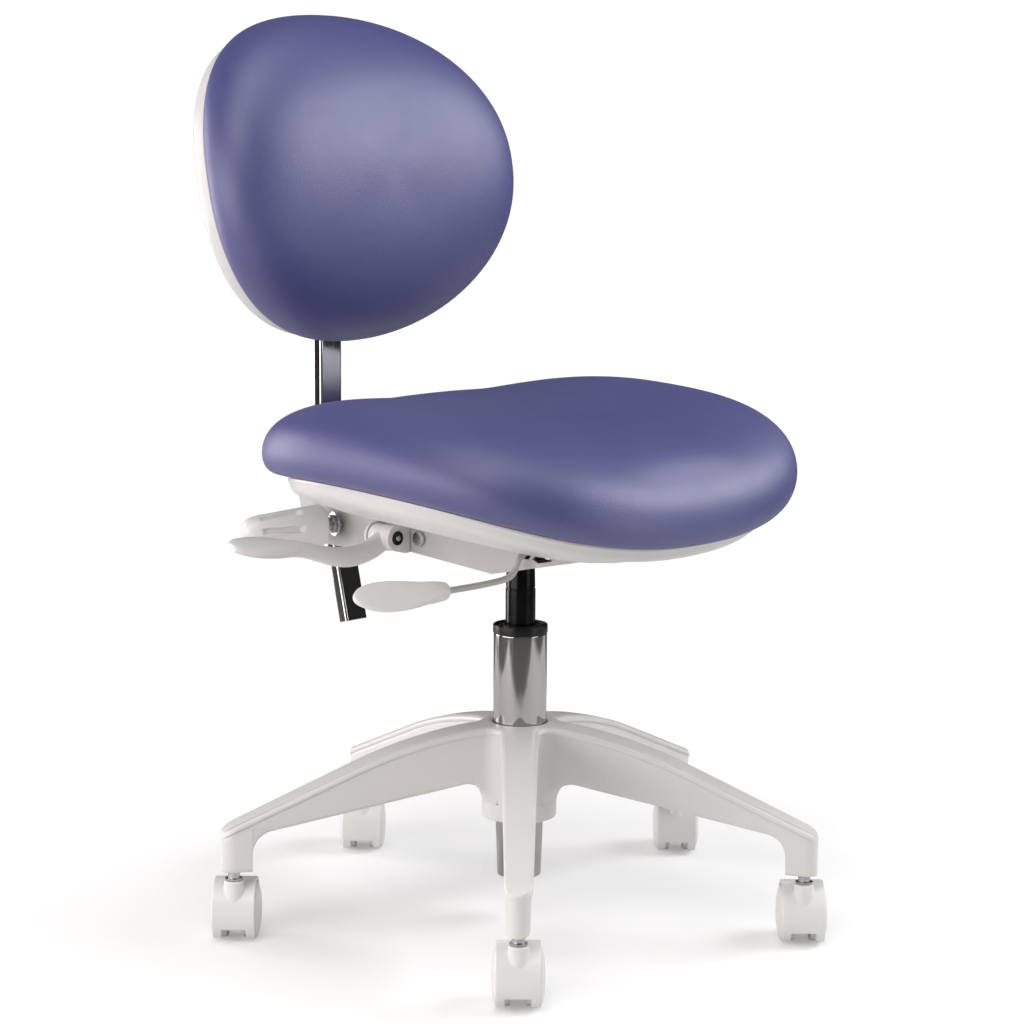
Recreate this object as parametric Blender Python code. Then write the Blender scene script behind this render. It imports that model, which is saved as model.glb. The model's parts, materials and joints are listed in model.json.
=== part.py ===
"""Dentist's stool: a five-caster star base, a gas column, a contoured seat and an adjustable backrest.

Metres, +Z up, the floor at z = 0. The sitter faces -Y, so the sitter's right hand is at -X.
The origin lies on the floor under the middle of the stool's box; the column stands at COLUMN.
"""

import math

import bmesh
import bpy
from mathutils import Matrix, Vector

# ---------------------------------------------------------------- driving dimensions
COLUMN = Vector((-0.0276, -0.0273, 0.0))  # column axis, seen from the middle of the box
GAP = 0.0003  # clearance between pieces that touch

# star base
LEG_COUNT = 5
FIRST_LEG = math.radians(-136.0)
LEG_STEP = math.tau / LEG_COUNT
STEM_RADIUS = 0.2748  # column axis to caster stem
HUB_TOP, HUB_BOTTOM, HUB_R, HUB_FILLET_LOW = 0.1905, 0.0985, 0.0350, 0.1120
LEG_HALF_IN, LEG_HALF_OUT, EDGE_R = 0.01775, 0.0125, 0.0045
ROOT_Y = LEG_HALF_IN + 0.020  # centre of the plan fillet between two legs
ROOT_X = ROOT_Y / math.tan(LEG_STEP / 2)
SOCKET_BOTTOM, SOCKET_IN, SOCKET_R = 0.0665, 0.2590, 0.0120

# casters
CASTER_TRAIL = 0.018
CASTER_HEADING = math.radians(44.0)  # all five trail this way at rest
WHEEL_R, WHEEL_INSIDE, WHEEL_OUTSIDE = 0.0250, 0.0068, 0.0232
WHEEL_SIDES = 24
HOOD_R, HOOD_WALL, HOOD_HALF = 0.0305, 0.0034, 0.0195
STEM_R, BOSS_R, BOSS_TOP = 0.0055, 0.0090, 0.0580
AXLE_R = 0.0030

# gas column
TUBE_R, TUBE_FOOT_R, TUBE_FOOT, TAPER_TOP, TUBE_TOP = 0.0250, 0.0206, 0.0415, 0.1710, 0.2740
TUBE_WALL, TUBE_FLOOR = 0.0018, 0.0045
BUSH_TOP = 0.2822
PISTON_TUBE_R, PISTON_TUBE_LOW, PISTON_TUBE_TOP = 0.0140, 0.0880, 0.3520
ROD_R = 0.0050

# seat: plate plane at SEAT_Z over the column, its front edge lower by SEAT_TILT
SEAT_Z = 0.3740
SEAT_TILT = math.radians(3.5)
SEAT_HALF_WIDTH, SEAT_HALF_LENGTH, SEAT_SQUARENESS = 0.2340, 0.2155, 2.8
SEAT_MIDDLE_Y = -0.0118
SEAT_DISH, SEAT_ROLL_OFF, SEAT_TWIST = 0.68, -0.15, 0.30  # curvatures of the seat's contour
SEAT_EGG = 0.02  # share by which the seat is wider at its rear edge and narrower at its front
SHELL_SCALE, PAN_SCALE = 0.89, 0.87
CUSHION_RIM, CUSHION_CROWN = 0.0425, 0.070
CHANNEL_HALF, SHEET = 0.0450, 0.0030
BOLT_X, BOLT_Y = 0.0540, 0.0900

# backrest: middle of the cushion's widest outline, leaning back by BACK_LEAN
BACK_Y, BACK_Z = 0.2354, 0.6938
BACK_LEAN = math.radians(11.0)
BACK_HALF_WIDTH, BACK_HALF_HEIGHT, BACK_SQUARENESS = 0.1900, 0.1603, 2.14
BACK_WRAP, BACK_LUMBAR = 0.56, -1.27
BACK_REAR, BACK_CROWN = 0.0140, 0.064

# back bar and its bracket
PIVOT_Y, PIVOT_Z = 0.0880, 0.3575
BAR_LEAN = math.atan(0.2425)  # of the straight lower run
BAR_Y, BAR_Z = 0.2565, 0.3600  # a point on the lower run's axis
BAR_WIDTH, BAR_DEPTH = 0.0280, 0.0120
BAR_LOW, BAR_BEND, BAR_TOP = 0.2535, 0.4040, 0.7050
BRACKET_HALF = 0.0300
STUD_YAW = math.radians(16.0)  # the knob points this far behind the sitter's right
STUD_AT = Vector((-BRACKET_HALF, 0.2180, 0.3555))
STUD_R = 0.0040
KNOB_START, KNOB_LENGTH, KNOB_R = 0.0195, 0.084, 0.0205

# levers
LEVER_HOLE = Vector((-CHANNEL_HALF, -0.050, 0.3610))
LEVER_R = 0.0030
CLEVIS_PIN = Vector((-0.0620, 0.1180, 0.3580))
CLEVIS_IN, CLEVIS_OUT = 0.1015, 0.1345


# ---------------------------------------------------------------- scene helpers
def clear_scene():
    for old in list(bpy.data.objects):
        bpy.data.objects.remove(old, do_unlink=True)


def material(name, colour, roughness, metallic=0.0):
    made = bpy.data.materials.new(name)
    made.use_nodes = True
    shader = made.node_tree.nodes["Principled BSDF"]
    shader.inputs["Base Color"].default_value = (*colour, 1.0)
    shader.inputs["Roughness"].default_value = roughness
    shader.inputs["Metallic"].default_value = metallic
    return made


def frame(name, parent=None, location=(0, 0, 0), rotation=(0, 0, 0)):
    empty = bpy.data.objects.new(name, None)
    bpy.context.scene.collection.objects.link(empty)
    empty.parent = parent
    empty.location = location
    empty.rotation_euler = rotation
    return empty


def node(name, mesh, finish, parent, location=(0, 0, 0), rotation=(0, 0, 0)):
    """A named sub-part, from a bmesh or from a mesh that another sub-part already uses."""
    if isinstance(mesh, bmesh.types.BMesh):
        data = bpy.data.meshes.new(name)
        bmesh.ops.recalc_face_normals(mesh, faces=mesh.faces)
        mesh.to_mesh(data)
        mesh.free()
    else:
        data = mesh
    if finish is not None and not data.materials:
        data.materials.append(finish)
    body = bpy.data.objects.new(name, data)
    bpy.context.scene.collection.objects.link(body)
    body.parent = parent
    body.location = location
    body.rotation_euler = rotation
    data.shade_smooth()
    data.set_sharp_from_angle(angle=math.radians(35))
    return body


def boolean(body, operation, *tools):
    """Union or difference with each tool, applied to the mesh; the tools are removed."""
    for tool in tools:
        step = body.modifiers.new(operation, "BOOLEAN")
        step.operation = operation
        step.object = tool
        graph = bpy.context.evaluated_depsgraph_get()
        mesh = bpy.data.meshes.new_from_object(body.evaluated_get(graph))
        body.modifiers.clear()
        body.data = mesh
        bpy.data.objects.remove(tool, do_unlink=True)
    return body


def tool(mesh, parent=None, location=(0, 0, 0), rotation=(0, 0, 0)):
    made = node("tool", mesh, None, parent, location, rotation)
    made.hide_render = True
    made.display_type = "WIRE"
    return made


# ---------------------------------------------------------------- mesh helpers
def skin(rings, closed=False, caps=(0, -1)):
    """Faces between consecutive rings of points.

    A ring of one point is a pole. The ends named in caps are filled.
    """
    bm = bmesh.new()
    loops = [[bm.verts.new(point) for point in ring] for ring in rings]
    pairs = list(zip(loops, loops[1:]))
    if closed:
        pairs.append((loops[-1], loops[0]))
    for first, second in pairs:
        count = max(len(first), len(second))
        for i in range(count if count > 1 else 0):
            j = (i + 1) % count
            near = [first[i % len(first)], first[j % len(first)]]
            far = [second[j % len(second)], second[i % len(second)]]
            corners = near + far
            face = [corner for n, corner in enumerate(corners) if corner not in corners[:n]]
            bm.faces.new(face)
    for loop in [loops[end] for end in caps if not closed]:
        if len(loop) > 2:
            bm.faces.new(loop)
    return bm


def add_mesh(target, part, matrix=Matrix.Identity(4)):
    """Adds a bmesh, moved by a matrix, to another bmesh."""
    bmesh.ops.transform(part, matrix=matrix, verts=part.verts)
    data = bpy.data.meshes.new("part")
    part.to_mesh(data)
    part.free()
    target.from_mesh(data)


def turned(profile, sides=28, closed=True, phase=0.0):
    """A profile of (radius, height) points turned about Z. Points at radius 0 close the shape."""
    rings = []
    for radius, height in profile:
        if radius == 0:
            rings.append([Vector((0, 0, height))])
        else:
            angles = [phase + math.tau * i / sides for i in range(sides)]
            rings.append([Vector((radius * math.cos(a), radius * math.sin(a), height)) for a in angles])
    return skin(rings, closed)


def washer(bore, radius, low, high):
    """The profile of a plain ring."""
    return [(bore, low), (radius, low), (radius, high), (bore, high)]


def rod(radius, low, high, sides=24, phase=0.0):
    return turned([(0, low), (radius, low), (radius, high), (0, high)], sides, False, phase)


def box(low, high):
    bm = bmesh.new()
    low, high = Vector(low), Vector(high)
    bmesh.ops.create_cube(bm, size=1.0)
    bmesh.ops.scale(bm, vec=high - low, verts=bm.verts)
    bmesh.ops.translate(bm, vec=(low + high) / 2, verts=bm.verts)
    return bm


def prism(outline, low, high, axis="X"):
    """An outline extruded along an axis: (y, z) points along X, (x, z) along Y, (x, y) along Z."""
    place = {
        "X": lambda a, b, c: Vector((c, a, b)),
        "Y": lambda a, b, c: Vector((a, c, b)),
        "Z": lambda a, b, c: Vector((a, b, c)),
    }[axis]
    return skin([[place(a, b, low) for a, b in outline], [place(a, b, high) for a, b in outline]])


def arc(centre, radius, start, end, steps):
    """Points on a circle arc, angles in degrees."""
    angles = [math.radians(start + (end - start) * i / steps) for i in range(steps + 1)]
    return [(centre[0] + radius * math.cos(a), centre[1] + radius * math.sin(a)) for a in angles]


def smooth_path(points, per_span):
    """Catmull-Rom points through the given ones."""
    ends = [points[0] * 2 - points[1], *points, points[-1] * 2 - points[-2]]
    made = []
    for a, b, c, d in zip(ends, ends[1:], ends[2:], ends[3:]):
        for i in range(per_span):
            t = i / per_span
            bow, twist = 2 * a - 5 * b + 4 * c - d, 3 * b - a - 3 * c + d
            made.append(0.5 * (2 * b + (c - a) * t + bow * t**2 + twist * t**3))
    return [*made, points[-1]]


def swept(path, section, side):
    """A closed section swept along a path.

    section(i) gives (across, over) points; side is the first across.
    """
    rings = []
    for i, point in enumerate(path):
        ahead = (path[min(i + 1, len(path) - 1)] - path[max(i - 1, 0)]).normalized()
        side = (side - ahead * side.dot(ahead)).normalized()
        over = ahead.cross(side)
        rings.append([point + side * a + over * b for a, b in section(i)])
    return skin(rings)


def oval(half_a, half_b, power, sides):
    """A superellipse outline as (a, b) points."""
    made = []
    for i in range(sides):
        c, s = math.cos(math.tau * i / sides), math.sin(math.tau * i / sides)
        made.append(
            (
                half_a * math.copysign(abs(c) ** (2 / power), c),
                half_b * math.copysign(abs(s) ** (2 / power), s),
            )
        )
    return made


def along(start, direction):
    """Location and rotation that put local Z on a line."""
    return start, direction.to_track_quat("Z", "Y").to_euler()


# ---------------------------------------------------------------- star base
def leg_half_width(x):
    """Half the top's width, x along the leg: a taper, then a round end over the caster socket."""
    taper = LEG_HALF_IN + (LEG_HALF_OUT - LEG_HALF_IN) * (x - ROOT_X) / (STEM_RADIUS - ROOT_X)
    if x <= STEM_RADIUS:
        return taper
    return LEG_HALF_OUT * math.sqrt(max(1 - ((x - STEM_RADIUS) / SOCKET_R) ** 2, 0.01))


def leg_top(x):
    """Level at the hub, bending into a straight slope, rounded off at the end."""
    straight, slope = 0.165, 0.41
    if x < straight:
        return HUB_TOP - slope * x**2 / (2 * straight)
    line = HUB_TOP - slope * (x - straight / 2)
    past = max(x - STEM_RADIUS, 0) / SOCKET_R
    return line - 0.006 * past**2


def leg_bottom(x):
    """Fillet off the hub, a shallow slope, a fillet down to the caster socket."""
    hub_r, socket_r = 0.023, 0.022
    hub_x, socket_x = HUB_R + hub_r, SOCKET_IN - socket_r
    if x < hub_x:
        return HUB_FILLET_LOW + math.sqrt(max(hub_r**2 - (hub_x - x) ** 2, 0))
    if x < socket_x:
        return HUB_FILLET_LOW + hub_r - 0.172 * (x - hub_x)
    if x < SOCKET_IN:
        return 0.0820 + math.sqrt(max(socket_r**2 - (x - socket_x) ** 2, 0))
    return SOCKET_BOTTOM


# a leg's cross-section: share of the half width, inset in edge radii, from the top?, drop or rise
LEG_ROWS = [
    (0.00, 0.00, True, 0.0000),
    (0.60, 0.00, True, 0.0002),
    (1.00, 0.45, True, 0.0012),
    (1.00, 0.00, True, 0.0042),
    (0.87, 0.00, True, 0.0095),
    (0.80, 0.00, False, 0.0030),
    (0.80, 0.30, False, 0.0000),
    (0.45, 0.00, False, 0.0000),
    (0.00, 0.00, False, 0.0000),
]
TOP_EDGE_ROW, LOW_EDGE_ROW = 2, 6


def leg_point(row, x, y):
    share, inset, from_top, step = row
    return Vector((x, y, leg_top(x) - step if from_top else leg_bottom(x) + step))


def root_point(row, turn):
    """A point where two legs meet: every edge line runs round one centre, (ROOT_X, ROOT_Y)."""
    share, inset, from_top, _ = row
    edge = row if share >= 0.8 else LEG_ROWS[TOP_EDGE_ROW if from_top else LOW_EDGE_ROW]
    radius = ROOT_Y - (edge[0] * LEG_HALF_IN - edge[1] * EDGE_R)
    x, y = ROOT_X + radius * math.cos(turn), ROOT_Y + radius * math.sin(turn)
    if share < 0.8:
        y *= share / edge[0]
    if not from_top:
        x = max(x, math.sqrt(max((HUB_R + 0.0002) ** 2 - y * y, 0)))
    return leg_point(row, x, y)


def leg_station(x):
    width = leg_half_width(x)
    edge = min(EDGE_R, width * 0.4)
    return [leg_point(row, x, row[0] * width - row[1] * edge) for row in LEG_ROWS]


def star_base(parent, finish):
    """Five legs whose edges meet on the planes between them, closed by the hub's rings."""
    halves = [[root_point(row, math.radians(turn)) for row in LEG_ROWS] for turn in (216, 238, 270)]
    stations = [0.0620, 0.0850, 0.1150, 0.1450, 0.2370, 0.2500, 0.2572, 0.2590]
    stations += [STEM_RADIUS, 0.2820, 0.2862]
    halves += [leg_station(x) for x in stations]
    mirror = Matrix.Diagonal((1, -1, 1))
    turns = [Matrix.Rotation(FIRST_LEG + LEG_STEP * i, 4, "Z") for i in range(LEG_COUNT)]
    whole = bmesh.new()
    for turn in turns:
        rings = [[*half, *[mirror @ point for point in half[-2:0:-1]]] for half in halves]
        add_mesh(whole, skin(rings, caps=(-1,)), turn)
    root = halves[0]
    top, low = [], []
    for turn in turns:
        top += [turn @ p for p in (mirror @ root[TOP_EDGE_ROW], mirror @ root[1], root[0], root[1])]
        low += [turn @ p for p in (mirror @ root[LOW_EDGE_ROW], mirror @ root[-2], root[-1], root[-2])]
    sides = len(top)

    def ring(radius, z):
        angles = [FIRST_LEG - LEG_STEP / 2 + math.tau * i / sides for i in range(sides)]
        return [Vector((radius * math.cos(a), radius * math.sin(a), z)) for a in angles]

    apothem = math.cos(math.pi / sides)
    heights = (leg_top(TUBE_R), TAPER_TOP, HUB_BOTTOM)
    bore = [ring((tube_radius(z) + 2 * GAP) / apothem, z) for z in heights]
    edge = ((HUB_R - 0.002, HUB_BOTTOM), (HUB_R, HUB_BOTTOM + 0.002), (HUB_R, HUB_FILLET_LOW - 0.001))
    skirt = [ring(radius, z) for radius, z in edge]
    add_mesh(whole, skin([top, *bore, *skirt, low], caps=()))
    bmesh.ops.remove_doubles(whole, verts=whole.verts, dist=1e-5)
    base = node("star_base", whole, finish, parent)
    holes = []
    for i in range(LEG_COUNT):
        turn = FIRST_LEG + LEG_STEP * i
        place = (STEM_RADIUS * math.cos(turn), STEM_RADIUS * math.sin(turn), 0)
        holes.append(tool(rod(STEM_R + GAP, 0.05, 0.0945, 12), parent, place))
    return boolean(base, "DIFFERENCE", *holes)


def tube_radius(z):
    part = min(max((z - TUBE_FOOT) / (TAPER_TOP - TUBE_FOOT), 0), 1)
    return TUBE_FOOT_R + (TUBE_R - TUBE_FOOT_R) * part


# ---------------------------------------------------------------- casters
def hood_mesh(parent, finish):
    """An arched hood on a central web, with a boss for the stem and a notch at its lip."""
    axle = (CASTER_TRAIL, WHEEL_R)
    lip, tail = 224.0, 8.0
    arch = [*arc(axle, HOOD_R, lip, tail, 14), *arc(axle, HOOD_R - HOOD_WALL, tail, lip, 14)]
    web = [*arc(axle, HOOD_R - HOOD_WALL / 2, lip - 4, tail + 4, 9), *arc(axle, 0.0085, -10, -130, 4)]
    hood = node("hood", prism(arch, -HOOD_HALF, HOOD_HALF, "Y"), finish, parent)
    boss = turned([(0, 0.030), (BOSS_R, 0.030), (BOSS_R, BOSS_TOP), (0, BOSS_TOP)], 16, False)
    boolean(hood, "UNION", tool(prism(web, -0.0060, 0.0060, "Y"), parent), tool(boss, parent))
    across = (math.radians(90), 0, 0)
    axle_hole = rod(AXLE_R + GAP, -0.03, 0.03, 12)
    at_axle = ((axle[0], 0, axle[1]), across)
    well_r, well_starts = WHEEL_R + 0.0013, (-0.0362, 0.0062)
    wells = [tool(rod(well_r, low, low + 0.03, 24), parent, *at_axle) for low in well_starts]
    boolean(
        hood,
        "DIFFERENCE",
        *wells,
        tool(rod(STEM_R + GAP, 0.0335, 0.07, 12), parent),
        tool(axle_hole, parent, *at_axle),
        tool(box((-0.02, -0.010, -0.01), (0.0045, 0.010, 0.0100)), parent),
    )
    mesh = hood.data
    bpy.data.objects.remove(hood, do_unlink=True)
    return mesh


def wheel_mesh():
    """A tread with a domed outer cap, turned about Z; its flats, not its corners, lie at WHEEL_R."""
    flat = 1 / math.cos(math.pi / WHEEL_SIDES)
    bore = AXLE_R + GAP
    profile = [
        (bore, WHEEL_INSIDE),
        (0.0235, WHEEL_INSIDE),
        (WHEEL_R, WHEEL_INSIDE + 0.0016),
        (WHEEL_R, 0.0190),
        (0.0236, 0.0208),
        (0.0150, 0.0226),
        (0, WHEEL_OUTSIDE),
        (0, 0.0209),
        (bore, 0.0209),
    ]
    return turned([(r * flat, z) for r, z in profile], WHEEL_SIDES, True, math.pi / WHEEL_SIDES)


def casters(parent, white, steel, tread):
    hood = hood_mesh(parent, white)
    stem = axle = wheel = None
    for i in range(LEG_COUNT):
        turn = FIRST_LEG + LEG_STEP * i
        foot = Vector((STEM_RADIUS * math.cos(turn), STEM_RADIUS * math.sin(turn), 0))
        swivel = frame(f"caster_{i + 1}", parent, foot, (0, 0, CASTER_HEADING))
        if stem is None:
            collar = 0.0590
            stem = turned(
                [
                    (0, 0.0340),
                    (STEM_R, 0.0340),
                    (STEM_R, collar),
                    (0.0080, collar),
                    (0.0080, 0.0603),
                    (STEM_R, 0.0603),
                    (STEM_R, 0.0940),
                    (0, 0.0940),
                ],
                12,
                False,
            )
            axle, wheel = rod(AXLE_R, -0.0206, 0.0206, 12), wheel_mesh()
        stem = node(f"caster_stem_{i + 1}", stem, steel, swivel).data
        node(f"caster_hood_{i + 1}", hood, white, swivel)
        spin = frame(f"axle_{i + 1}", swivel, (CASTER_TRAIL, 0, WHEEL_R))
        axle = node(f"caster_axle_{i + 1}", axle, steel, spin, rotation=(math.radians(90), 0, 0)).data
        wheel = node(f"wheel_left_{i + 1}", wheel, tread, spin, rotation=(math.radians(90), 0, 0)).data
        node(f"wheel_right_{i + 1}", wheel, tread, spin, rotation=(math.radians(-90), 0, 0))


# ---------------------------------------------------------------- gas column
def gas_column(parent, chrome, black, steel):
    floor_top = TUBE_FOOT + TUBE_FLOOR
    node(
        "outer_tube",
        turned(
            [
                (ROD_R + 0.0008, TUBE_FOOT),
                (TUBE_FOOT_R, TUBE_FOOT),
                (TUBE_R, TAPER_TOP),
                (TUBE_R, TUBE_TOP),
                (TUBE_R - TUBE_WALL, TUBE_TOP),
                (TUBE_R - TUBE_WALL, TAPER_TOP),
                (TUBE_FOOT_R - TUBE_WALL, floor_top),
                (ROD_R + 0.0008, floor_top),
            ]
        ),
        chrome,
        parent,
    )
    inner = PISTON_TUBE_R + GAP * 1.5
    sleeve = TUBE_R - TUBE_WALL - GAP * 1.5
    seat_on = TUBE_TOP + GAP
    node(
        "guide_bushing",
        turned(
            [
                (inner, 0.1980),
                (sleeve, 0.1980),
                (sleeve, seat_on),
                (TUBE_R, seat_on),
                (TUBE_R + 0.0004, BUSH_TOP - 0.0015),
                (TUBE_R - 0.0008, BUSH_TOP),
                (inner, BUSH_TOP),
            ]
        ),
        black,
        parent,
    )
    bearing = washer(ROD_R + 0.0008, 0.0150, floor_top + GAP, 0.0520)
    node("thrust_bearing", turned(bearing, 24), steel, parent)
    node("rod_clip", turned(washer(ROD_R + GAP, 0.0090, 0.0378, 0.0396), 20), steel, parent)
    piston_r, piston_low, piston_high = 0.0115, 0.2360, 0.2460
    piston = [(0, 0.0355), (ROD_R, 0.0355), (ROD_R, piston_low), (piston_r, piston_low)]
    piston += [(piston_r, piston_high), (0, piston_high)]
    node("piston_rod", turned(piston, 20, False), steel, parent)
    taper_low, pin_hole = 0.3180, 0.0034
    node(
        "pressure_tube",
        turned(
            [
                (0.0120, PISTON_TUBE_LOW),
                (PISTON_TUBE_R, PISTON_TUBE_LOW),
                (PISTON_TUBE_R, taper_low),
                (PISTON_TUBE_R - 0.0006, taper_low + 0.0008),
                (PISTON_TUBE_R - 0.0012, PISTON_TUBE_TOP),
                (pin_hole, PISTON_TUBE_TOP),
                (pin_hole, 0.3350),
                (0.0120, 0.3350),
            ]
        ),
        black,
        parent,
    )
    guide = washer(ROD_R + GAP, 0.0117, PISTON_TUBE_LOW, 0.1040)
    node("rod_guide", turned(guide, 20), black, parent)
    button = [(0, 0.3420), (0.0030, 0.3420), (0.0030, 0.3575), (0.0018, 0.3583), (0, 0.3585)]
    node("release_pin", turned(button, 16, False), steel, parent)
    node(
        "taper_socket",
        turned(
            [
                (PISTON_TUBE_R, 0.3445),
                (0.0210, 0.3445),
                (0.0210, 0.3520),
                (PISTON_TUBE_R, 0.3520),
            ],
            28,
        ),
        steel,
        parent,
    )


# ---------------------------------------------------------------- seat
def seat_level(x, y):
    """Height of the seat's contour over its plate: sides up, ends down, the front corners most up."""
    forward = SEAT_MIDDLE_Y - y
    return SEAT_DISH * x * x + SEAT_ROLL_OFF * forward**2 + SEAT_TWIST * forward * x * x


def seat_rings(steps, sides=40):
    """Rings at (scale of the outline, height over the contour); scale 0 is a pole.

    Inside the shell's rim the contour never dips below the plate.
    """
    outline = oval(SEAT_HALF_WIDTH, SEAT_HALF_LENGTH, SEAT_SQUARENESS, sides)
    outline = [(x * (1 + SEAT_EGG * y / SEAT_HALF_LENGTH), y) for x, y in outline]
    rings = []
    for scale, height in steps:
        if scale == 0:
            rings.append([Vector((0, SEAT_MIDDLE_Y, height))])
            continue
        flat = [(x * scale, y * scale + SEAT_MIDDLE_Y) for x, y in outline]
        lowest = 0 if scale < PAN_SCALE else -1
        rings.append([Vector((x, y, max(seat_level(x, y), lowest) + height)) for x, y in flat])
    return rings


def crown(rim, rise, angles):
    """Cushion top from its widest outline to its pole, as (scale, height) steps."""
    made = []
    for degrees in angles:
        a = math.radians(degrees)
        made.append((math.cos(a) ** 0.55 if degrees < 90 else 0, rim + rise * math.sin(a) ** 0.9))
    return made


def four_bolts(radius, low, high):
    made = bmesh.new()
    for x in (-BOLT_X, BOLT_X):
        for y in (-BOLT_Y, BOLT_Y):
            add_mesh(made, rod(radius, low, high, 12), Matrix.Translation((x, y, 0)))
    return made


def seat(parent, white, wood, vinyl, steel):
    """parent is the tilted seat frame: z = 0 is the plane of the mechanism's plate."""

    def pan(height):
        rises = ((0, 0), (0.3, 0), (0.55, 0), (0.70, 0.002), (0.83, 0.0085))
        return [(scale, height + rise) for scale, rise in rises]

    skirt, wall, floor = 0.0255, 0.003, 0.0005
    shell = node(
        "seat_shell",
        skin(
            seat_rings(
                [
                    *pan(floor),
                    (0.875, floor + 0.0125),
                    (SHELL_SCALE, floor + 0.0165),
                    (SHELL_SCALE + 0.004, skirt),
                    (SHELL_SCALE - 0.010, skirt),
                    (SHELL_SCALE - 0.014, floor + 0.0175),
                    *reversed(pan(floor + wall)),
                ]
            )
        ),
        white,
        parent,
    )
    boolean(shell, "DIFFERENCE", tool(four_bolts(0.0033, -0.01, 0.02), parent))
    board_low, board_top = floor + wall + GAP * 3, 0.0142
    board = node(
        "seat_board",
        skin(seat_rings([*pan(board_low), *reversed(pan(board_top))])),
        wood,
        parent,
    )
    boolean(board, "DIFFERENCE", tool(four_bolts(0.0033, -0.01, 0.0135), parent))
    under, plug = skirt + GAP * 2, board_top + GAP * 3
    steps = [*pan(plug), (0.852, plug + 0.0088), (0.862, under), (0.945, under), (0.982, under + 0.0060)]
    steps += crown(CUSHION_RIM, CUSHION_CROWN, (0, 14, 28, 42, 56, 70, 81, 90))
    node("seat_cushion", skin(seat_rings(steps)), vinyl, parent)
    head, seated = 0.0052, -SHEET - 0.0005 - GAP
    shape = [(0, seated - 0.004), (head, seated - 0.004), (head, seated)]
    shape += [(0.0030, seated), (0.0030, 0.0120), (0, 0.0120)]
    bolt = turned(shape, 12, False)
    for i, (x, y) in enumerate(((-1, -1), (1, -1), (-1, 1), (1, 1))):
        bolt = node(f"seat_bolt_{i + 1}", bolt, steel, parent, (x * BOLT_X, y * BOLT_Y, 0)).data


# ---------------------------------------------------------------- mechanism under the seat
def mechanism(seat_frame, parent, white, steel):
    top, flange = -0.0005, 0.0620
    side = [
        (-0.1200, top),
        (-0.1200, -0.0060),
        (-0.0090, -0.0380),
        (0.1100, -0.0370),
        (0.1350, -0.0300),
        (0.1350, top),
    ]
    channel = node("mechanism_channel", prism(side, -CHANNEL_HALF, CHANNEL_HALF), white, seat_frame)
    spans = ((-flange, -0.040), (0.040, flange))
    plates = [box((x0, -0.1050, top - SHEET), (x1, 0.1050, top)) for x0, x1 in spans]
    boolean(channel, "UNION", *[tool(plate, seat_frame) for plate in plates])
    inside = [
        (-0.1170, 0.02),
        (-0.1170, -0.0038),
        (-0.0085, -0.0350),
        (0.0780, -0.0343),
        (0.0780, -0.0600),
        (0.1500, -0.0600),
        (0.1500, 0.02),
    ]
    wall = CHANNEL_HALF - SHEET
    slot = [(-0.0830, -0.0075), (-0.0830, -0.0125), (-0.0660, -0.0175)]
    slot += [(-0.0590, -0.0150), (-0.0640, -0.0080)]
    pivot = along(Vector((0, PIVOT_Y, PIVOT_Z)), Vector((1, 0, 0)))
    boolean(
        channel,
        "DIFFERENCE",
        tool(prism(inside, -wall, wall), seat_frame),
        tool(four_bolts(0.0033, -0.01, 0.02), seat_frame),
        tool(prism(slot, -0.06, 0), seat_frame),
        tool(rod(0.0150, 0.31, 0.345, 28), parent),
        tool(rod(0.0065, -0.012, 0.012, 16), parent, *along(LEVER_HOLE, Vector((1, 0, 0)))),
        tool(rod(0.0043, -0.07, 0.07, 16), parent, *pivot),
    )
    head = [(0, -0.0492), (0.0070, -0.0492), (0.0070, -0.0455)]
    shank = [(0.0040, -0.0455), (0.0040, 0.0475), (0, 0.0475)]
    node("back_pivot_pin", turned(head + shank, 16, False), steel, parent, *pivot)

    # clevis: a plate on the channel's side with two ears for the back-angle lever
    low, high, plate_in = 0.3425, 0.3705, CHANNEL_HALF + 0.0005
    ear = [
        (-plate_in, high),
        (-plate_in, low),
        (-plate_in - 0.006, low),
        *arc((CLEVIS_PIN.x, CLEVIS_PIN.z), 0.0125, -100, -270, 10),
    ]
    clevis = node("lever_clevis", prism(ear, CLEVIS_IN, CLEVIS_OUT, "Y"), white, parent)
    gap_box = box((-0.09, CLEVIS_IN + SHEET, 0.33), (-plate_in - SHEET, CLEVIS_OUT - SHEET, 0.39))
    hole = rod(0.0043, -0.03, 0.03, 16)
    across = along(CLEVIS_PIN, Vector((0, 1, 0)))
    boolean(clevis, "DIFFERENCE", tool(gap_box, parent), tool(hole, parent, *across))
    half = (CLEVIS_OUT - CLEVIS_IN) / 2
    bolt = turned(
        [
            (0, -half - 0.0042),
            (0.0062, -half - 0.0042),
            (0.0062, -half - GAP),
            (0.0040, -half - GAP),
            (0.0040, half + 0.003),
            (0, half + 0.003),
        ],
        12,
        False,
    )
    node("clevis_bolt", bolt, steel, parent, *along(CLEVIS_PIN, Vector((0, 1, 0))))


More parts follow.
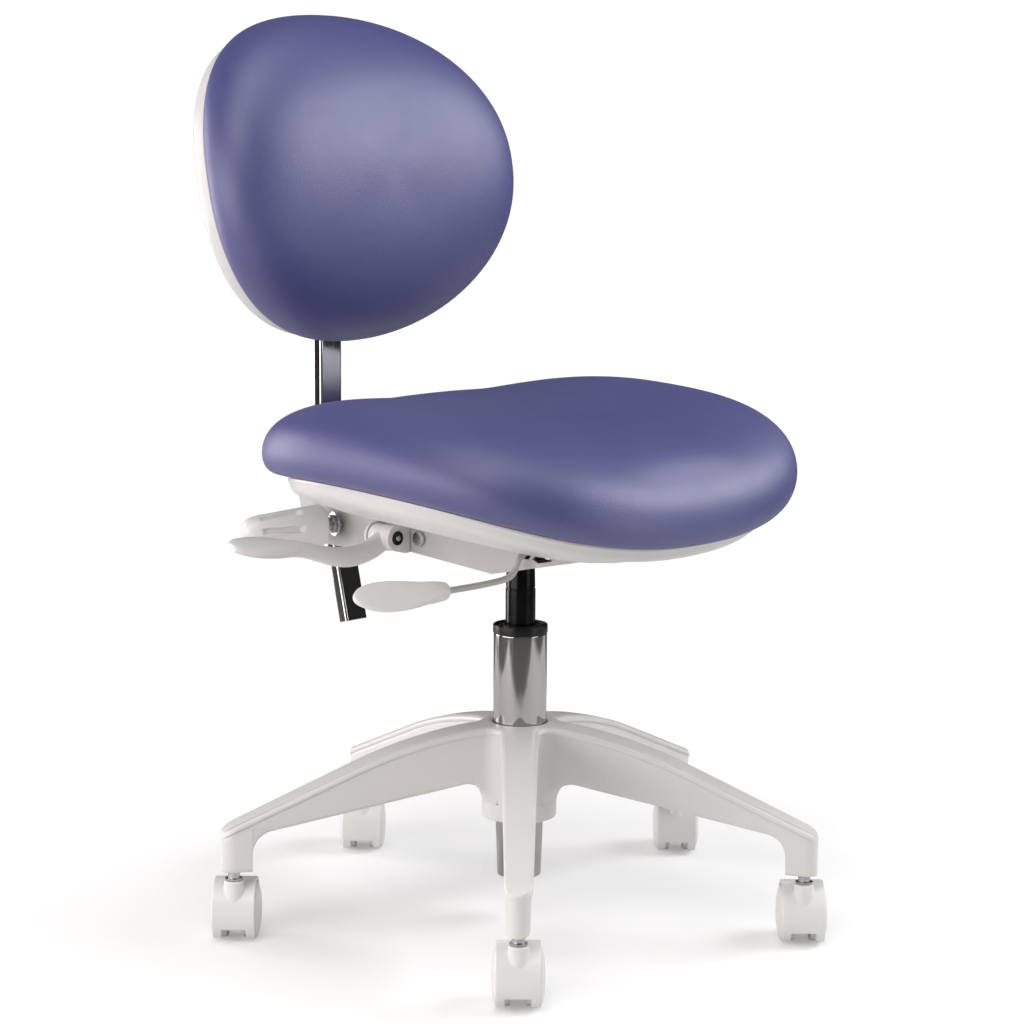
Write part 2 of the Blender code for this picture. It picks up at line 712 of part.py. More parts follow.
# ---------------------------------------------------------------- levers
def height_lever(parent, paint, plastic):
    """A bent wire: its inner end lies over the release pin, its outer end carries the paddle."""
    over_pin = 0.3585 + 0.0006 + LEVER_R
    corners = [
        Vector((0.0120, 0.0000, over_pin)),
        Vector((-0.0080, -0.0020, over_pin)),
        Vector((-0.0300, -0.0380, 0.3618)),
        Vector((-0.0450, -0.0500, 0.3610)),
        Vector((-0.0540, -0.0505, 0.3570)),
        Vector((-0.0590, -0.0500, 0.3470)),
        Vector((-0.0680, -0.0490, 0.3400)),
        Vector((-0.0950, -0.0460, 0.3372)),
        Vector((-0.1400, -0.0400, 0.3357)),
    ]
    outwards = (corners[-1] - corners[-2]).normalized()
    rod_end = corners[-1] + outwards * 0.018
    path = [*smooth_path(corners, 3), rod_end]
    wire = swept(path, lambda i: oval(LEVER_R, LEVER_R, 2, 10), Vector((0, 1, 0)))
    node("height_lever", wire, paint, parent)
    tip = Vector((-0.2290, -0.0200, 0.3370))
    start = corners[-1] - outwards * 0.004
    roll = math.radians(35)
    shape = [(0, 0.0070, 0.0070), (0.06, 0.0085, 0.0082), (0.16, 0.0105, 0.0085)]
    shape += [(0.24, 0.0118, 0.0072), (0.38, 0.0155, 0.0052), (0.56, 0.0180, 0.0045)]
    shape += [(0.74, 0.0175, 0.0042), (0.88, 0.0135, 0.0038), (0.96, 0.0080, 0.0030)]
    shape += [(1.0, 0.0030, 0.0018)]
    path = [start.lerp(tip, t) for t, _, _ in shape]
    side = Vector((0, -math.cos(roll), -math.sin(roll)))
    blade = swept(path, lambda i: oval(shape[i][1], shape[i][2], 2.3, 16), side)
    paddle = node("height_paddle", blade, plastic, parent)
    pocket = rod(LEVER_R + GAP, -0.010, 0.0245, 12)
    boolean(paddle, "DIFFERENCE", tool(pocket, parent, *along(corners[-1], outwards)))


def angle_lever(parent, plastic):
    """A moulded lever: a boss in the clevis, a dropped arm and a flat paddle."""
    y = CLEVIS_PIN.y
    shape = [
        (-0.0640, 0.3570, 0.0078, 0.0100),
        (-0.0760, 0.3500, 0.0080, 0.0098),
        (-0.0920, 0.3455, 0.0085, 0.0098),
        (-0.1110, 0.3440, 0.0090, 0.0096),
        (-0.1300, 0.3468, 0.0092, 0.0088),
        (-0.1480, 0.3520, 0.0094, 0.0078),
        (-0.1650, 0.3568, 0.0100, 0.0070),
        (-0.1800, 0.3598, 0.0118, 0.0064),
        (-0.1960, 0.3622, 0.0150, 0.0060),
        (-0.2130, 0.3645, 0.0172, 0.0056),
        (-0.2300, 0.3665, 0.0165, 0.0050),
        (-0.2430, 0.3682, 0.0125, 0.0042),
        (-0.2510, 0.3692, 0.0065, 0.0030),
    ]
    path = [Vector((x, y, z)) for x, z, _, _ in shape]

    def section(i):
        """An oval that rolls over the arm's length, which lowers the paddle's front edge."""
        roll = math.radians(22) * min(max((i - 3) / 5, 0), 1)
        points = oval(shape[i][2], shape[i][3], 2.3, 16)
        c, s = math.cos(roll), math.sin(roll)
        return [(a * c + b * s, b * c - a * s) for a, b in points]

    arm = swept(path, section, Vector((0, 1, 0)))
    half = (CLEVIS_OUT - CLEVIS_IN) / 2 - SHEET - 0.0008
    lever = node("angle_lever", arm, plastic, parent)
    pivot = along(CLEVIS_PIN, Vector((0, 1, 0)))
    boolean(lever, "UNION", tool(rod(0.0115, -half, half, 24), parent, *pivot))
    boolean(lever, "DIFFERENCE", tool(rod(0.0043, -0.03, 0.03, 16), parent, *pivot))


# ---------------------------------------------------------------- back bracket, bar and knob
def bar_section(half_x, half_y, corner):
    """A flat tube's rounded rectangle as (across, over) points."""
    made = []
    for sx, sy, start in ((1, 1, 0), (-1, 1, 90), (-1, -1, 180), (1, -1, 270)):
        centre = (sx * (half_x - corner), sy * (half_y - corner))
        made += arc(centre, corner, start, start + 90, 2)
    return made


def back_bracket(parent, white, plastic, steel):
    nose = arc((PIVOT_Y, PIVOT_Z), 0.0120, 270, 90, 8)
    top = [(0.1830, 0.3695), (0.2320, 0.3865), (0.2795, 0.3865)]
    outer = [*nose, *top, (0.2668, 0.3330), (0.1800, 0.3330), (0.1200, 0.3400)]
    inner = [(0.05, 0.30), (0.112, 0.30), (0.112, 0.3442), (0.180, 0.3360)]
    inner += [(0.2640, 0.3360), (0.2914, 0.45), (0.05, 0.45)]
    wall = BRACKET_HALF - SHEET
    bracket = node("back_bracket", prism(outer, -BRACKET_HALF, BRACKET_HALF), white, parent)
    lean = (-BAR_LEAN, 0, 0)
    axis_point = Vector((0, BAR_Y, BAR_Z))
    opening = box((-0.0150, -0.0070, -0.06), (0.0150, 0.0070, 0.06))
    pivot = along(Vector((0, PIVOT_Y, PIVOT_Z)), Vector((1, 0, 0)))
    stud = along(STUD_AT, stud_direction())
    boolean(
        bracket,
        "DIFFERENCE",
        tool(prism(inner, -wall, wall), parent),
        tool(opening, parent, axis_point, lean),
        tool(rod(0.0043, -0.05, 0.05, 16), parent, *pivot),
        tool(rod(STUD_R + 2 * GAP, -0.010, 0.010, 16), parent, *stud),
    )
    inside, outside, play = BAR_WIDTH / 2 + GAP, wall - GAP * 1.5, BAR_DEPTH / 2 + GAP
    profile = [
        (-outside, -0.0060),
        (-inside, -0.0060),
        (-inside, play),
        (inside, play),
        (inside, -0.0060),
        (outside, -0.0060),
        (outside, 0.0116),
        (-outside, 0.0116),
    ]
    node("bar_guide", prism(profile, -0.0205, 0.0235, "Z"), plastic, parent, axis_point, lean)
    block = node("clamp_block", box((-0.0230, 0.2000, 0.3455), (0.0130, 0.2462, 0.3655)), steel, parent)
    boolean(block, "DIFFERENCE", tool(rod(STUD_R + GAP, -0.0226, 0.010, 16), parent, *stud))
    nut = turned(washer(STUD_R + GAP, 0.0090, 0.0044, 0.0130), 12)
    node("knob_nut", nut, steel, parent, *stud)


def stud_direction():
    return Vector((-math.cos(STUD_YAW), math.sin(STUD_YAW), 0))


def height_knob(parent, plastic, steel):
    """A tapered knob with six flutes that run in from its domed end."""
    sides, flutes, depth = 36, 6, 0.0022
    stations = [(0.00, 0.93), (0.02, 1.0), (0.30, 0.885), (0.36, 0.861), (0.40, 0.845), (0.76, 0.704)]
    stations += [(0.83, 0.675), (0.90, 0.625), (0.96, 0.50), (0.99, 0.30)]
    rings = []
    for t, width in stations:
        cut = depth * min(max((t - 0.30) / 0.10, 0), 1) * min(max((0.83 - t) / 0.07, 0), 1)
        ring = []
        for i in range(sides):
            a = math.tau * i / sides
            groove = max(math.cos(flutes * a), 0) ** 2
            radius = KNOB_R * width - cut * groove
            over = KNOB_START + KNOB_LENGTH * t
            ring.append(Vector((radius * math.cos(a), radius * math.sin(a), over)))
        rings.append(ring)
    rings.append([Vector((0, 0, KNOB_START + KNOB_LENGTH))])
    knob = node("height_knob", skin(rings), plastic, parent, *along(STUD_AT, stud_direction()))
    bore = rod(STUD_R + GAP, 0.0, 0.0505, 16)
    boolean(knob, "DIFFERENCE", tool(bore, parent, *along(STUD_AT, stud_direction())))
    node("knob_stud", rod(STUD_R, -0.0220, 0.0500, 16), steel, parent, *along(STUD_AT, stud_direction()))


def bar_path():
    """The bar's axis: a straight leaning run, a short bend, a vertical run."""
    bend = 0.0075
    across = math.tan(BAR_LEAN)
    upright_y = BAR_Y + (BAR_BEND - BAR_Z) * across
    points = [(BAR_Y + (z - BAR_Z) * across, z) for z in (BAR_LOW, BAR_BEND - bend)]
    points += [(upright_y - 0.0003 - 0.25 * across * bend, BAR_BEND - bend * 0.2)]
    points += [(upright_y, BAR_BEND + bend), (upright_y, BAR_TOP)]
    return [Vector((0, y, z)) for y, z in points]


def back_level(x, z):
    """Forward offset of the backrest's curve: sides wrap forwards, top and bottom fall back."""
    return BACK_WRAP * x * x + BACK_LUMBAR * z * z


def back_rings(steps, sides=40):
    """Rings at (scale of the outline, height in front of the curve), in the leaning back frame."""
    outline = oval(BACK_HALF_WIDTH, BACK_HALF_HEIGHT, BACK_SQUARENESS, sides)
    rings = []
    for scale, height in steps:
        if scale == 0:
            rings.append([Vector((0, -height, 0))])
            continue
        flat = [(x * scale, z * scale) for x, z in outline]
        rings.append([Vector((x, -(back_level(x, z) + height), z)) for x, z in flat])
    return rings


def backrest(back_frame, parent, chrome, white, wood, vinyl, steel):
    section = bar_section(BAR_WIDTH / 2, BAR_DEPTH / 2, 0.0045)
    node("back_bar", swept(bar_path(), lambda i: section, Vector((1, 0, 0))), chrome, parent)
    mount = [(0.2607, 0.622), (0.2607, 0.702), (0.2597, 0.702), (0.2577, 0.690)]
    mount += [(0.2548, 0.665), (0.2518, 0.640), (0.2507, 0.622)]
    node("back_mount", prism(mount, -0.024, 0.024), steel, parent)
    board_front = -BACK_REAR - GAP * 2
    board_rear = board_front - 0.0055
    front, rear = [[(scale, level) for scale in (0, 0.4, 0.86)] for level in (board_front, board_rear)]
    node("back_board", skin(back_rings([*front, *reversed(rear)])), wood, back_frame)
    rim, deep, wall = -BACK_REAR - 0.0008, -0.0400, 0.003
    outside = [(0, deep), (0.45, deep), (0.78, deep + 0.0006), (0.89, deep + 0.0030)]
    outside += [(0.935, deep + 0.0080), (0.950, deep + 0.0140), (0.948, rim)]
    inside = [(0.930, rim), (0.932, deep + 0.0145), (0.915, deep + 0.0095), (0.875, deep + 0.0055)]
    inside += [(0.77, deep + wall), (0.45, deep + wall), (0, deep + wall)]
    shell = node("back_shell", skin(back_rings(outside + inside)), white, back_frame)
    boolean(shell, "DIFFERENCE", tool(box((-0.0165, 0.2575, 0.45), (0.0165, 0.34, 0.7125)), parent))
    steps = [(scale, -BACK_REAR) for scale in (0, 0.4, 0.86, 0.925)]
    steps += [(0.965, -BACK_REAR * 0.8), (0.992, -BACK_REAR * 0.4)]
    steps += crown(0, BACK_CROWN, (0, 14, 28, 42, 56, 70, 81, 90))
    node("back_cushion", skin(back_rings(steps)), vinyl, back_frame)


def build():
    clear_scene()
    white = material("moulded_white", (0.80, 0.79, 0.76), 0.38)
    tread = material("caster_white", (0.82, 0.82, 0.80), 0.45)
    paint = material("painted_grey", (0.62, 0.61, 0.58), 0.35)
    chrome = material("chrome", (0.78, 0.78, 0.79), 0.08, 1.0)
    steel = material("zinc_steel", (0.55, 0.55, 0.56), 0.30, 1.0)
    black = material("black", (0.02, 0.02, 0.022), 0.35)
    vinyl = material("periwinkle_vinyl", (0.13, 0.13, 0.36), 0.40)
    wood = material("plywood", (0.55, 0.40, 0.24), 0.65)

    root = frame("stool", location=COLUMN)
    star_base(root, white)
    casters(root, white, steel, tread)
    gas_column(root, chrome, black, steel)
    seat_frame = frame("seat_frame", root, (0, 0, SEAT_Z), (SEAT_TILT, 0, 0))
    seat(seat_frame, white, wood, vinyl, steel)
    mechanism(seat_frame, root, paint, steel)
    height_lever(root, paint, white)
    angle_lever(root, white)
    back_bracket(root, paint, black, steel)
    height_knob(root, white, steel)
    back_frame = frame("back_frame", root, (0, BACK_Y, BACK_Z), (-BACK_LEAN, 0, 0))
    backrest(back_frame, root, chrome, white, wood, vinyl, steel)


build()
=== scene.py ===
"""The looks of the dentist's stool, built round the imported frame.

Metres, +Z up, the floor at z = 0. The sitter faces -Y, so the sitter's right hand is at -X. Most
pieces are made about the column's axis and then moved to it.
"""

import json
import math

import bmesh
import bpy
from mathutils import Matrix, Vector
from mathutils.kdtree import KDTree


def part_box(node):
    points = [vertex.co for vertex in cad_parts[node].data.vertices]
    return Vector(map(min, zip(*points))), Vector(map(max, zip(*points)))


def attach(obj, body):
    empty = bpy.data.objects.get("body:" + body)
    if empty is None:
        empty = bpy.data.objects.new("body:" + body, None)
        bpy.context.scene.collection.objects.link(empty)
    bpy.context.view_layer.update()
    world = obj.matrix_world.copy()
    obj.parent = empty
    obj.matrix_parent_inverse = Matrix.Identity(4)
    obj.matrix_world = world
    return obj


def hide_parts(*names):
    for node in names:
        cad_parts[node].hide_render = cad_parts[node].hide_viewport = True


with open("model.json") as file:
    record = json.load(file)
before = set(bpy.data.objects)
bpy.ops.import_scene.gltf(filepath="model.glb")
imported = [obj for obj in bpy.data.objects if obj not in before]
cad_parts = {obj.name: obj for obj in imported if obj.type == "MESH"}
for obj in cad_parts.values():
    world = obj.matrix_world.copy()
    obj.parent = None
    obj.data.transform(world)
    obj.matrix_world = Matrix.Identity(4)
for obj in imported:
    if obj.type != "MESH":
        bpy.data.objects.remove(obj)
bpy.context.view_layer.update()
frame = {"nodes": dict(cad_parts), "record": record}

LOW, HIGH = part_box("piston_rod")
COLUMN = Vector(((LOW.x + HIGH.x) / 2, (LOW.y + HIGH.y) / 2, 0))
TO_COLUMN = Matrix.Translation(COLUMN)

# ---------------------------------------------------------------- dimensions shared with the frame
LEG_COUNT = 5
FIRST_LEG = math.radians(-136.0)
LEG_STEP = math.tau / LEG_COUNT
STEM_RADIUS = 0.2748
HUB_TOP, HUB_BOTTOM, HUB_R, HUB_FILLET_LOW = 0.1905, 0.0985, 0.0350, 0.1120
LEG_HALF_IN, LEG_HALF_OUT, EDGE_R = 0.01775, 0.0125, 0.0045
ROOT_Y = LEG_HALF_IN + 0.0125
ROOT_X = ROOT_Y / math.tan(LEG_STEP / 2)
SOCKET_BOTTOM, SOCKET_IN, SOCKET_R = 0.0665, 0.2590, 0.0120
ROOT_FILLET, SOCKET_FILLET = 0.023, 0.022
CASTER_TRAIL, CASTER_HEADING = 0.018, math.radians(44.0)
WHEEL_R, HOOD_R, HOOD_WALL, HOOD_HALF = 0.0250, 0.0305, 0.0034, 0.0195
TUBE_R, TUBE_FOOT_R, TUBE_FOOT, TAPER_TOP, TUBE_TOP = 0.0250, 0.0206, 0.0415, 0.1710, 0.2740
BUSH_TOP = 0.2822
PISTON_TUBE_R, PISTON_TUBE_TOP = 0.0140, 0.3520
SEAT_Z, SEAT_TILT = 0.3740, math.radians(3.5)
SEAT_HALF_WIDTH, SEAT_HALF_LENGTH, SEAT_SQUARENESS = 0.2340, 0.2155, 2.8
SEAT_MIDDLE_Y = -0.0118
SEAT_DISH, SEAT_ROLL_OFF, SEAT_TWIST, SEAT_EGG = 0.68, -0.15, 0.30, 0.02
SHELL_SCALE, PAN_SCALE = 0.89, 0.87
CUSHION_RIM, CUSHION_CROWN = 0.0425, 0.070
BACK_Y, BACK_Z, BACK_LEAN = 0.2354, 0.6938, math.radians(11.0)
BACK_HALF_WIDTH, BACK_HALF_HEIGHT, BACK_SQUARENESS = 0.1900, 0.1603, 2.14
BACK_WRAP, BACK_LUMBAR = 0.56, -1.27
BACK_REAR, BACK_CROWN = 0.0140, 0.064
BAR_LEAN = math.atan(0.2425)
BAR_Y, BAR_Z = 0.2565, 0.3600
BAR_WIDTH, BAR_DEPTH = 0.0280, 0.0120
BAR_LOW, BAR_BEND, BAR_TOP = 0.2535, 0.4040, 0.7050
STUD_YAW = math.radians(16.0)
STUD_AT = Vector((-0.0300, 0.2180, 0.3555))
KNOB_START, KNOB_LENGTH, KNOB_R = 0.0195, 0.084, 0.0205
LEVER_R = 0.0030
CLEVIS_PIN = Vector((-0.0620, 0.1180, 0.3580))
CLEVIS_HALF = 0.0165

SEAT_FRAME = TO_COLUMN @ Matrix.Translation((0, 0, SEAT_Z)) @ Matrix.Rotation(SEAT_TILT, 4, "X")
BACK_FRAME = TO_COLUMN @ Matrix.Translation((0, BACK_Y, BACK_Z)) @ Matrix.Rotation(-BACK_LEAN, 4, "X")

# ---------------------------------------------------------------- studio
FLOOR = ((-1.10, -0.90), (1.25, 0.95))
COOL, WARM, PINK = (0.97, 0.98, 1.0), (1.0, 0.99, 0.97), (1.0, 0.90, 0.94)
SOFT_BOXES = (
    # name, place and target in the camera's compass, size, watts, colour
    ("left_box", (-2.00, 0.93, 0.55), (0, 0, 0.50), (0.9, 1.4), 25, PINK),
    ("low_left", (-1.66, -1.14, 0.50), (0, 0, 0.42), (2.0, 1.1), 26, (1.0, 0.97, 0.97)),
    ("right_box", (1.82, 0.32, 1.60), (0, 0, 0.50), (1.3, 0.9), 31, COOL),
    ("low_right", (1.80, -0.85, 0.42), (0, 0, 0.40), (0.9, 0.7), 6, COOL),
    ("front_box", (-0.50, -1.40, 2.00), (0, 0, 0.30), (1.0, 1.0), 14, WARM),
    ("top_box", (0.1, -0.2, 2.6), (0, 0, 0.3), (1.2, 1.2), 13, (1.0, 0.99, 0.98)),
)
FILL, BACKDROP = 0.29, 1.05
ROOM_LOW, ROOM_HIGH = (-0.20, 0.20), (-0.15, 0.035)
GLOW_NEAR, GLOW_FAR = (0.35, 0.24), (0.90, 0.42)

# ---------------------------------------------------------------- cloth
CLOTH_FRAMES, CLOTH_PRESSURE = 20, 3.0
SWELL_CAP, EVEN_PASSES = 0.004, 200


def along(start, direction):
    """The matrix that puts local Z on a line, start given from the column."""
    turn = direction.to_track_quat("Z", "Y").to_matrix().to_4x4()
    return TO_COLUMN @ Matrix.Translation(start) @ turn


STUD_FRAME = along(STUD_AT, Vector((-math.cos(STUD_YAW), math.sin(STUD_YAW), 0)))


# ---------------------------------------------------------------- camera and light
def set_camera():
    """One camera at the photograph's viewing angle, on the sitter's front right."""
    facing, distance, height = math.radians(46.0), 2.5515, 0.7803
    pitch, yaw, roll = 0.15268, -0.0033, 0.00537
    ahead = Vector((math.sin(yaw) * math.cos(pitch), math.cos(yaw) * math.cos(pitch), -math.sin(pitch)))
    level = Vector((math.cos(yaw), -math.sin(yaw), 0))
    above = level.cross(ahead)
    right = level * math.cos(roll) + above * math.sin(roll)
    up = above * math.cos(roll) - level * math.sin(roll)
    camera = bpy.data.objects.new("camera", bpy.data.cameras.new("camera"))
    bpy.context.scene.collection.objects.link(camera)
    camera.data.lens, camera.data.sensor_width = 97.69, 36
    camera.data.clip_start, camera.data.clip_end = 0.1, 60
    round_seat = Matrix.Rotation(-facing, 4, "Z")
    basis = Matrix((right, up, -ahead)).transposed().to_4x4()
    basis.translation = Vector((0, -distance, height))
    camera.matrix_world = TO_COLUMN @ round_seat @ basis
    bpy.context.scene.camera = camera
    return TO_COLUMN @ round_seat


def soft_box(name, place, towards, size, power, colour, studio):
    """A rectangular light, placed in the camera's compass: +Y away from it, +X to its right."""
    light = bpy.data.lights.new(name, "AREA")
    light.shape = "RECTANGLE"
    light.size, light.size_y = size
    light.energy = power
    light.color = colour
    lamp = bpy.data.objects.new(name, light)
    bpy.context.scene.collection.objects.link(lamp)
    place, towards = Vector(place), Vector(towards)
    turn = (towards - place).to_track_quat("-Z", "Y").to_matrix().to_4x4()
    lamp.matrix_world = studio @ Matrix.Translation(place) @ turn


def between(tree, value, first, last):
    """A map range node's output: it runs from one (value, level) pair to another."""
    made = tree.nodes.new("ShaderNodeMapRange")
    for end, (reading, level) in (("Min", first), ("Max", last)):
        made.inputs[f"From {end}"].default_value = reading
        made.inputs[f"To {end}"].default_value = level
    tree.links.new(value, made.inputs["Value"])
    return made.outputs[0]


def set_light(studio):
    """Big soft boxes left, right and over the stool in a dim room, with a white backdrop behind it."""
    for name, place, towards, size, power, colour in SOFT_BOXES:
        soft_box(name, place, towards, size, power, colour, studio)
    world = bpy.data.worlds.new("studio")
    world.use_nodes = True
    tree = world.node_tree
    tree.nodes.clear()
    shades = {}
    for name, level in (("fill", FILL), ("room", 0), ("backdrop", BACKDROP)):
        shade = tree.nodes.new("ShaderNodeBackground")
        shade.inputs["Color"].default_value = (1, 1, 1, 1)
        shade.inputs["Strength"].default_value = level
        shades[name] = shade
    way = tree.nodes.new("ShaderNodeSeparateXYZ")
    tree.links.new(tree.nodes.new("ShaderNodeTexCoord").outputs["Generated"], way.inputs[0])
    room = between(tree, way.outputs["Z"], ROOM_LOW, ROOM_HIGH)
    tree.links.new(room, shades["room"].inputs["Strength"])
    path = tree.nodes.new("ShaderNodeLightPath")
    seen = shades["fill"].outputs[0]
    for ray, name in (("Is Glossy Ray", "room"), ("Is Camera Ray", "backdrop")):
        mix = tree.nodes.new("ShaderNodeMixShader")
        tree.links.new(path.outputs[ray], mix.inputs[0])
        tree.links.new(seen, mix.inputs[1])
        tree.links.new(shades[name].outputs[0], mix.inputs[2])
        seen = mix.outputs[0]
    tree.links.new(seen, tree.nodes.new("ShaderNodeOutputWorld").inputs[0])
    scene = bpy.context.scene
    scene.world = world
    scene.view_settings.view_transform = "Standard"
    scene.view_settings.look = "None"


def lay_floor(studio):
    """A sheet of white paper under the stool, square to the camera, that glows more further out."""
    (left, near), (right, far) = FLOOR
    corners = [(left, near, 0), (right, near, 0), (right, far, 0), (left, far, 0)]
    data = bpy.data.meshes.new("floor")
    data.from_pydata(corners, [], [(0, 1, 2, 3)])
    floor = bpy.data.objects.new("floor", data)
    bpy.context.scene.collection.objects.link(floor)
    floor.matrix_world = studio
    paper = bpy.data.materials.new("floor_paper")
    paper.use_nodes = True
    tree = paper.node_tree
    shader = tree.nodes["Principled BSDF"]
    shader.inputs["Base Color"].default_value = (0.72, 0.715, 0.71, 1)
    shader.inputs["Roughness"].default_value = 0.9
    shader.inputs["Emission Color"].default_value = (1, 1, 1, 1)
    away = tree.nodes.new("ShaderNodeVectorMath")
    away.operation = "LENGTH"
    tree.links.new(tree.nodes.new("ShaderNodeTexCoord").outputs["Object"], away.inputs[0])
    glow = between(tree, away.outputs["Value"], GLOW_NEAR, GLOW_FAR)
    lift = tree.nodes.new("ShaderNodeMath")
    lift.operation = "MULTIPLY"
    tree.links.new(tree.nodes.new("ShaderNodeLightPath").outputs["Is Camera Ray"], lift.inputs[0])
    tree.links.new(glow, lift.inputs[1])
    tree.links.new(lift.outputs[0], shader.inputs["Emission Strength"])
    data.materials.append(paper)


# ---------------------------------------------------------------- materials
class Finish:
    """A material whose colour, roughness and bump vary with object-space noise, in metres."""

    def __init__(self, name, metallic=0.0, specular=0.5):
        self.made = bpy.data.materials.new(name)
        self.made.use_nodes = True
        self.tree = self.made.node_tree
        self.shader = self.tree.nodes["Principled BSDF"]
        self.shader.inputs["Metallic"].default_value = metallic
        self.shader.inputs["Specular IOR Level"].default_value = specular
        self.place = self.tree.nodes.new("ShaderNodeTexCoord").outputs["Object"]
        self.bump = None

    def noise(self, scale, detail=2.0, stretch=(1, 1, 1)):
        place = self.place
        if stretch != (1, 1, 1):
            mapping = self.tree.nodes.new("ShaderNodeMapping")
            mapping.inputs["Scale"].default_value = stretch
            self.tree.links.new(place, mapping.inputs["Vector"])
            place = mapping.outputs[0]
        made = self.tree.nodes.new("ShaderNodeTexNoise")
        made.inputs["Scale"].default_value = scale
        made.inputs["Detail"].default_value = detail
        self.tree.links.new(place, made.inputs["Vector"])
        return made.outputs["Fac"]

    def cells(self, scale, smooth=0.6):
        made = self.tree.nodes.new("ShaderNodeTexVoronoi")
        made.feature = "SMOOTH_F1"
        made.inputs["Scale"].default_value = scale
        made.inputs["Smoothness"].default_value = smooth
        self.tree.links.new(self.place, made.inputs["Vector"])
        return made.outputs["Distance"]

    def spread(self, factor, low, high, start=0.3, end=0.7):
        return between(self.tree, factor, (start, low), (end, high))

    def colour(self, factor, first, second, start=0.35, end=0.65):
        ramp = self.tree.nodes.new("ShaderNodeValToRGB")
        ramp.color_ramp.elements[0].position, ramp.color_ramp.elements[1].position = start, end
        ramp.color_ramp.elements[0].color = (*first, 1)
        ramp.color_ramp.elements[1].color = (*second, 1)
        self.tree.links.new(factor, ramp.inputs[0])
        self.tree.links.new(ramp.outputs[0], self.shader.inputs["Base Color"])
        return self

    def rough(self, factor, low, high):
        self.tree.links.new(self.spread(factor, low, high), self.shader.inputs["Roughness"])
        return self

    def relief(self, factor, depth, strength=1.0):
        """Adds bump of that depth in metres; calls stack."""
        made = self.tree.nodes.new("ShaderNodeBump")
        made.inputs["Strength"].default_value = strength
        made.inputs["Distance"].default_value = depth
        self.tree.links.new(factor, made.inputs["Height"])
        if self.bump:
            self.tree.links.new(self.bump.outputs[0], made.inputs["Normal"])
        self.bump = made
        self.tree.links.new(made.outputs[0], self.shader.inputs["Normal"])
        return self


def moulded(name, base, rough=(0.30, 0.42), grain=0.00002):
    """Satin moulded nylon: faint clouding, a fine spark-eroded grain and slow waves from cooling."""
    made = Finish(name)
    darker = tuple(c * 0.955 for c in base)
    made.colour(made.noise(9, 3), darker, base)
    made.rough(made.noise(45, 3), *rough)
    made.relief(made.noise(26, 1), 0.0003, 0.3).relief(made.noise(900, 2), grain, 0.4)
    return made.made


def make_finishes():
    made = {}
    made["white"] = moulded("moulded_white", (0.67, 0.660, 0.642), (0.285, 0.36))
    made["caster"] = moulded("caster_white", (0.73, 0.724, 0.71), (0.285, 0.38))
    made["lever"] = moulded("lever_white", (0.73, 0.717, 0.697), (0.285, 0.36))

    paint = Finish("grey_paint")
    paint.colour(paint.noise(14, 3), (0.42, 0.410, 0.395), (0.46, 0.450, 0.432))
    paint.rough(paint.noise(120, 2), 0.30, 0.42)
    paint.relief(paint.noise(650, 2), 0.00008, 0.55)
    made["paint"] = paint.made

    chrome = Finish("chrome_plate", metallic=1.0)
    chrome.colour(chrome.noise(6, 2), (0.42, 0.410, 0.400), (0.48, 0.470, 0.458))
    chrome.rough(chrome.noise(300, 3, (1, 1, 0.1)), 0.05, 0.11)
    chrome.relief(chrome.noise(20, 1), 0.0002, 0.25)
    chrome.relief(chrome.noise(420, 2, (1, 1, 0.02)), 0.00003, 0.6)
    made["chrome"] = chrome.made

    steel = Finish("zinc_steel", metallic=1.0)
    steel.colour(steel.noise(60, 3), (0.42, 0.42, 0.43), (0.58, 0.58, 0.58))
    steel.rough(steel.noise(200, 3), 0.22, 0.38)
    steel.relief(steel.noise(900, 2), 0.00003, 0.5)
    made["steel"] = steel.made

    gloss = Finish("black_enamel", specular=0.2)
    gloss.colour(gloss.noise(20, 2), (0.002, 0.002, 0.002), (0.004, 0.004, 0.004))
    gloss.rough(gloss.noise(80, 2), 0.12, 0.20)
    gloss.relief(gloss.noise(400, 2), 0.00002, 0.5)
    made["enamel"] = gloss.made

    black = Finish("black_plastic", specular=0.3)
    black.colour(black.noise(30, 2), (0.004, 0.004, 0.004), (0.008, 0.008, 0.008))
    black.rough(black.noise(90, 2), 0.285, 0.36)
    black.relief(black.noise(1200, 2), 0.00004, 0.6)
    made["black"] = black.made

    vinyl = Finish("periwinkle_vinyl", specular=1.0)
    vinyl.colour(vinyl.noise(5, 4), (0.054, 0.057, 0.190), (0.062, 0.065, 0.215))
    vinyl.rough(vinyl.noise(60, 4), 0.48, 0.51)
    vinyl.relief(vinyl.noise(11, 2), 0.0012, 0.25)
    vinyl.relief(vinyl.cells(950), 0.00022, 0.75).relief(vinyl.noise(2600, 2), 0.00006, 0.6)
    vinyl.shader.inputs["Sheen Weight"].default_value = 0.03
    vinyl.shader.inputs["Sheen Roughness"].default_value = 0.45
    vinyl.shader.inputs["Sheen Tint"].default_value = (0.85, 0.80, 0.98, 1)
    made["vinyl"] = vinyl.made

    wood = Finish("plywood")
    wood.colour(wood.noise(40, 4, (1, 8, 1)), (0.42, 0.29, 0.16), (0.60, 0.45, 0.28))
    wood.rough(wood.noise(80, 2), 0.55, 0.75)
    wood.relief(wood.noise(300, 3, (1, 6, 1)), 0.0002, 0.6)
    made["wood"] = wood.made
    return made


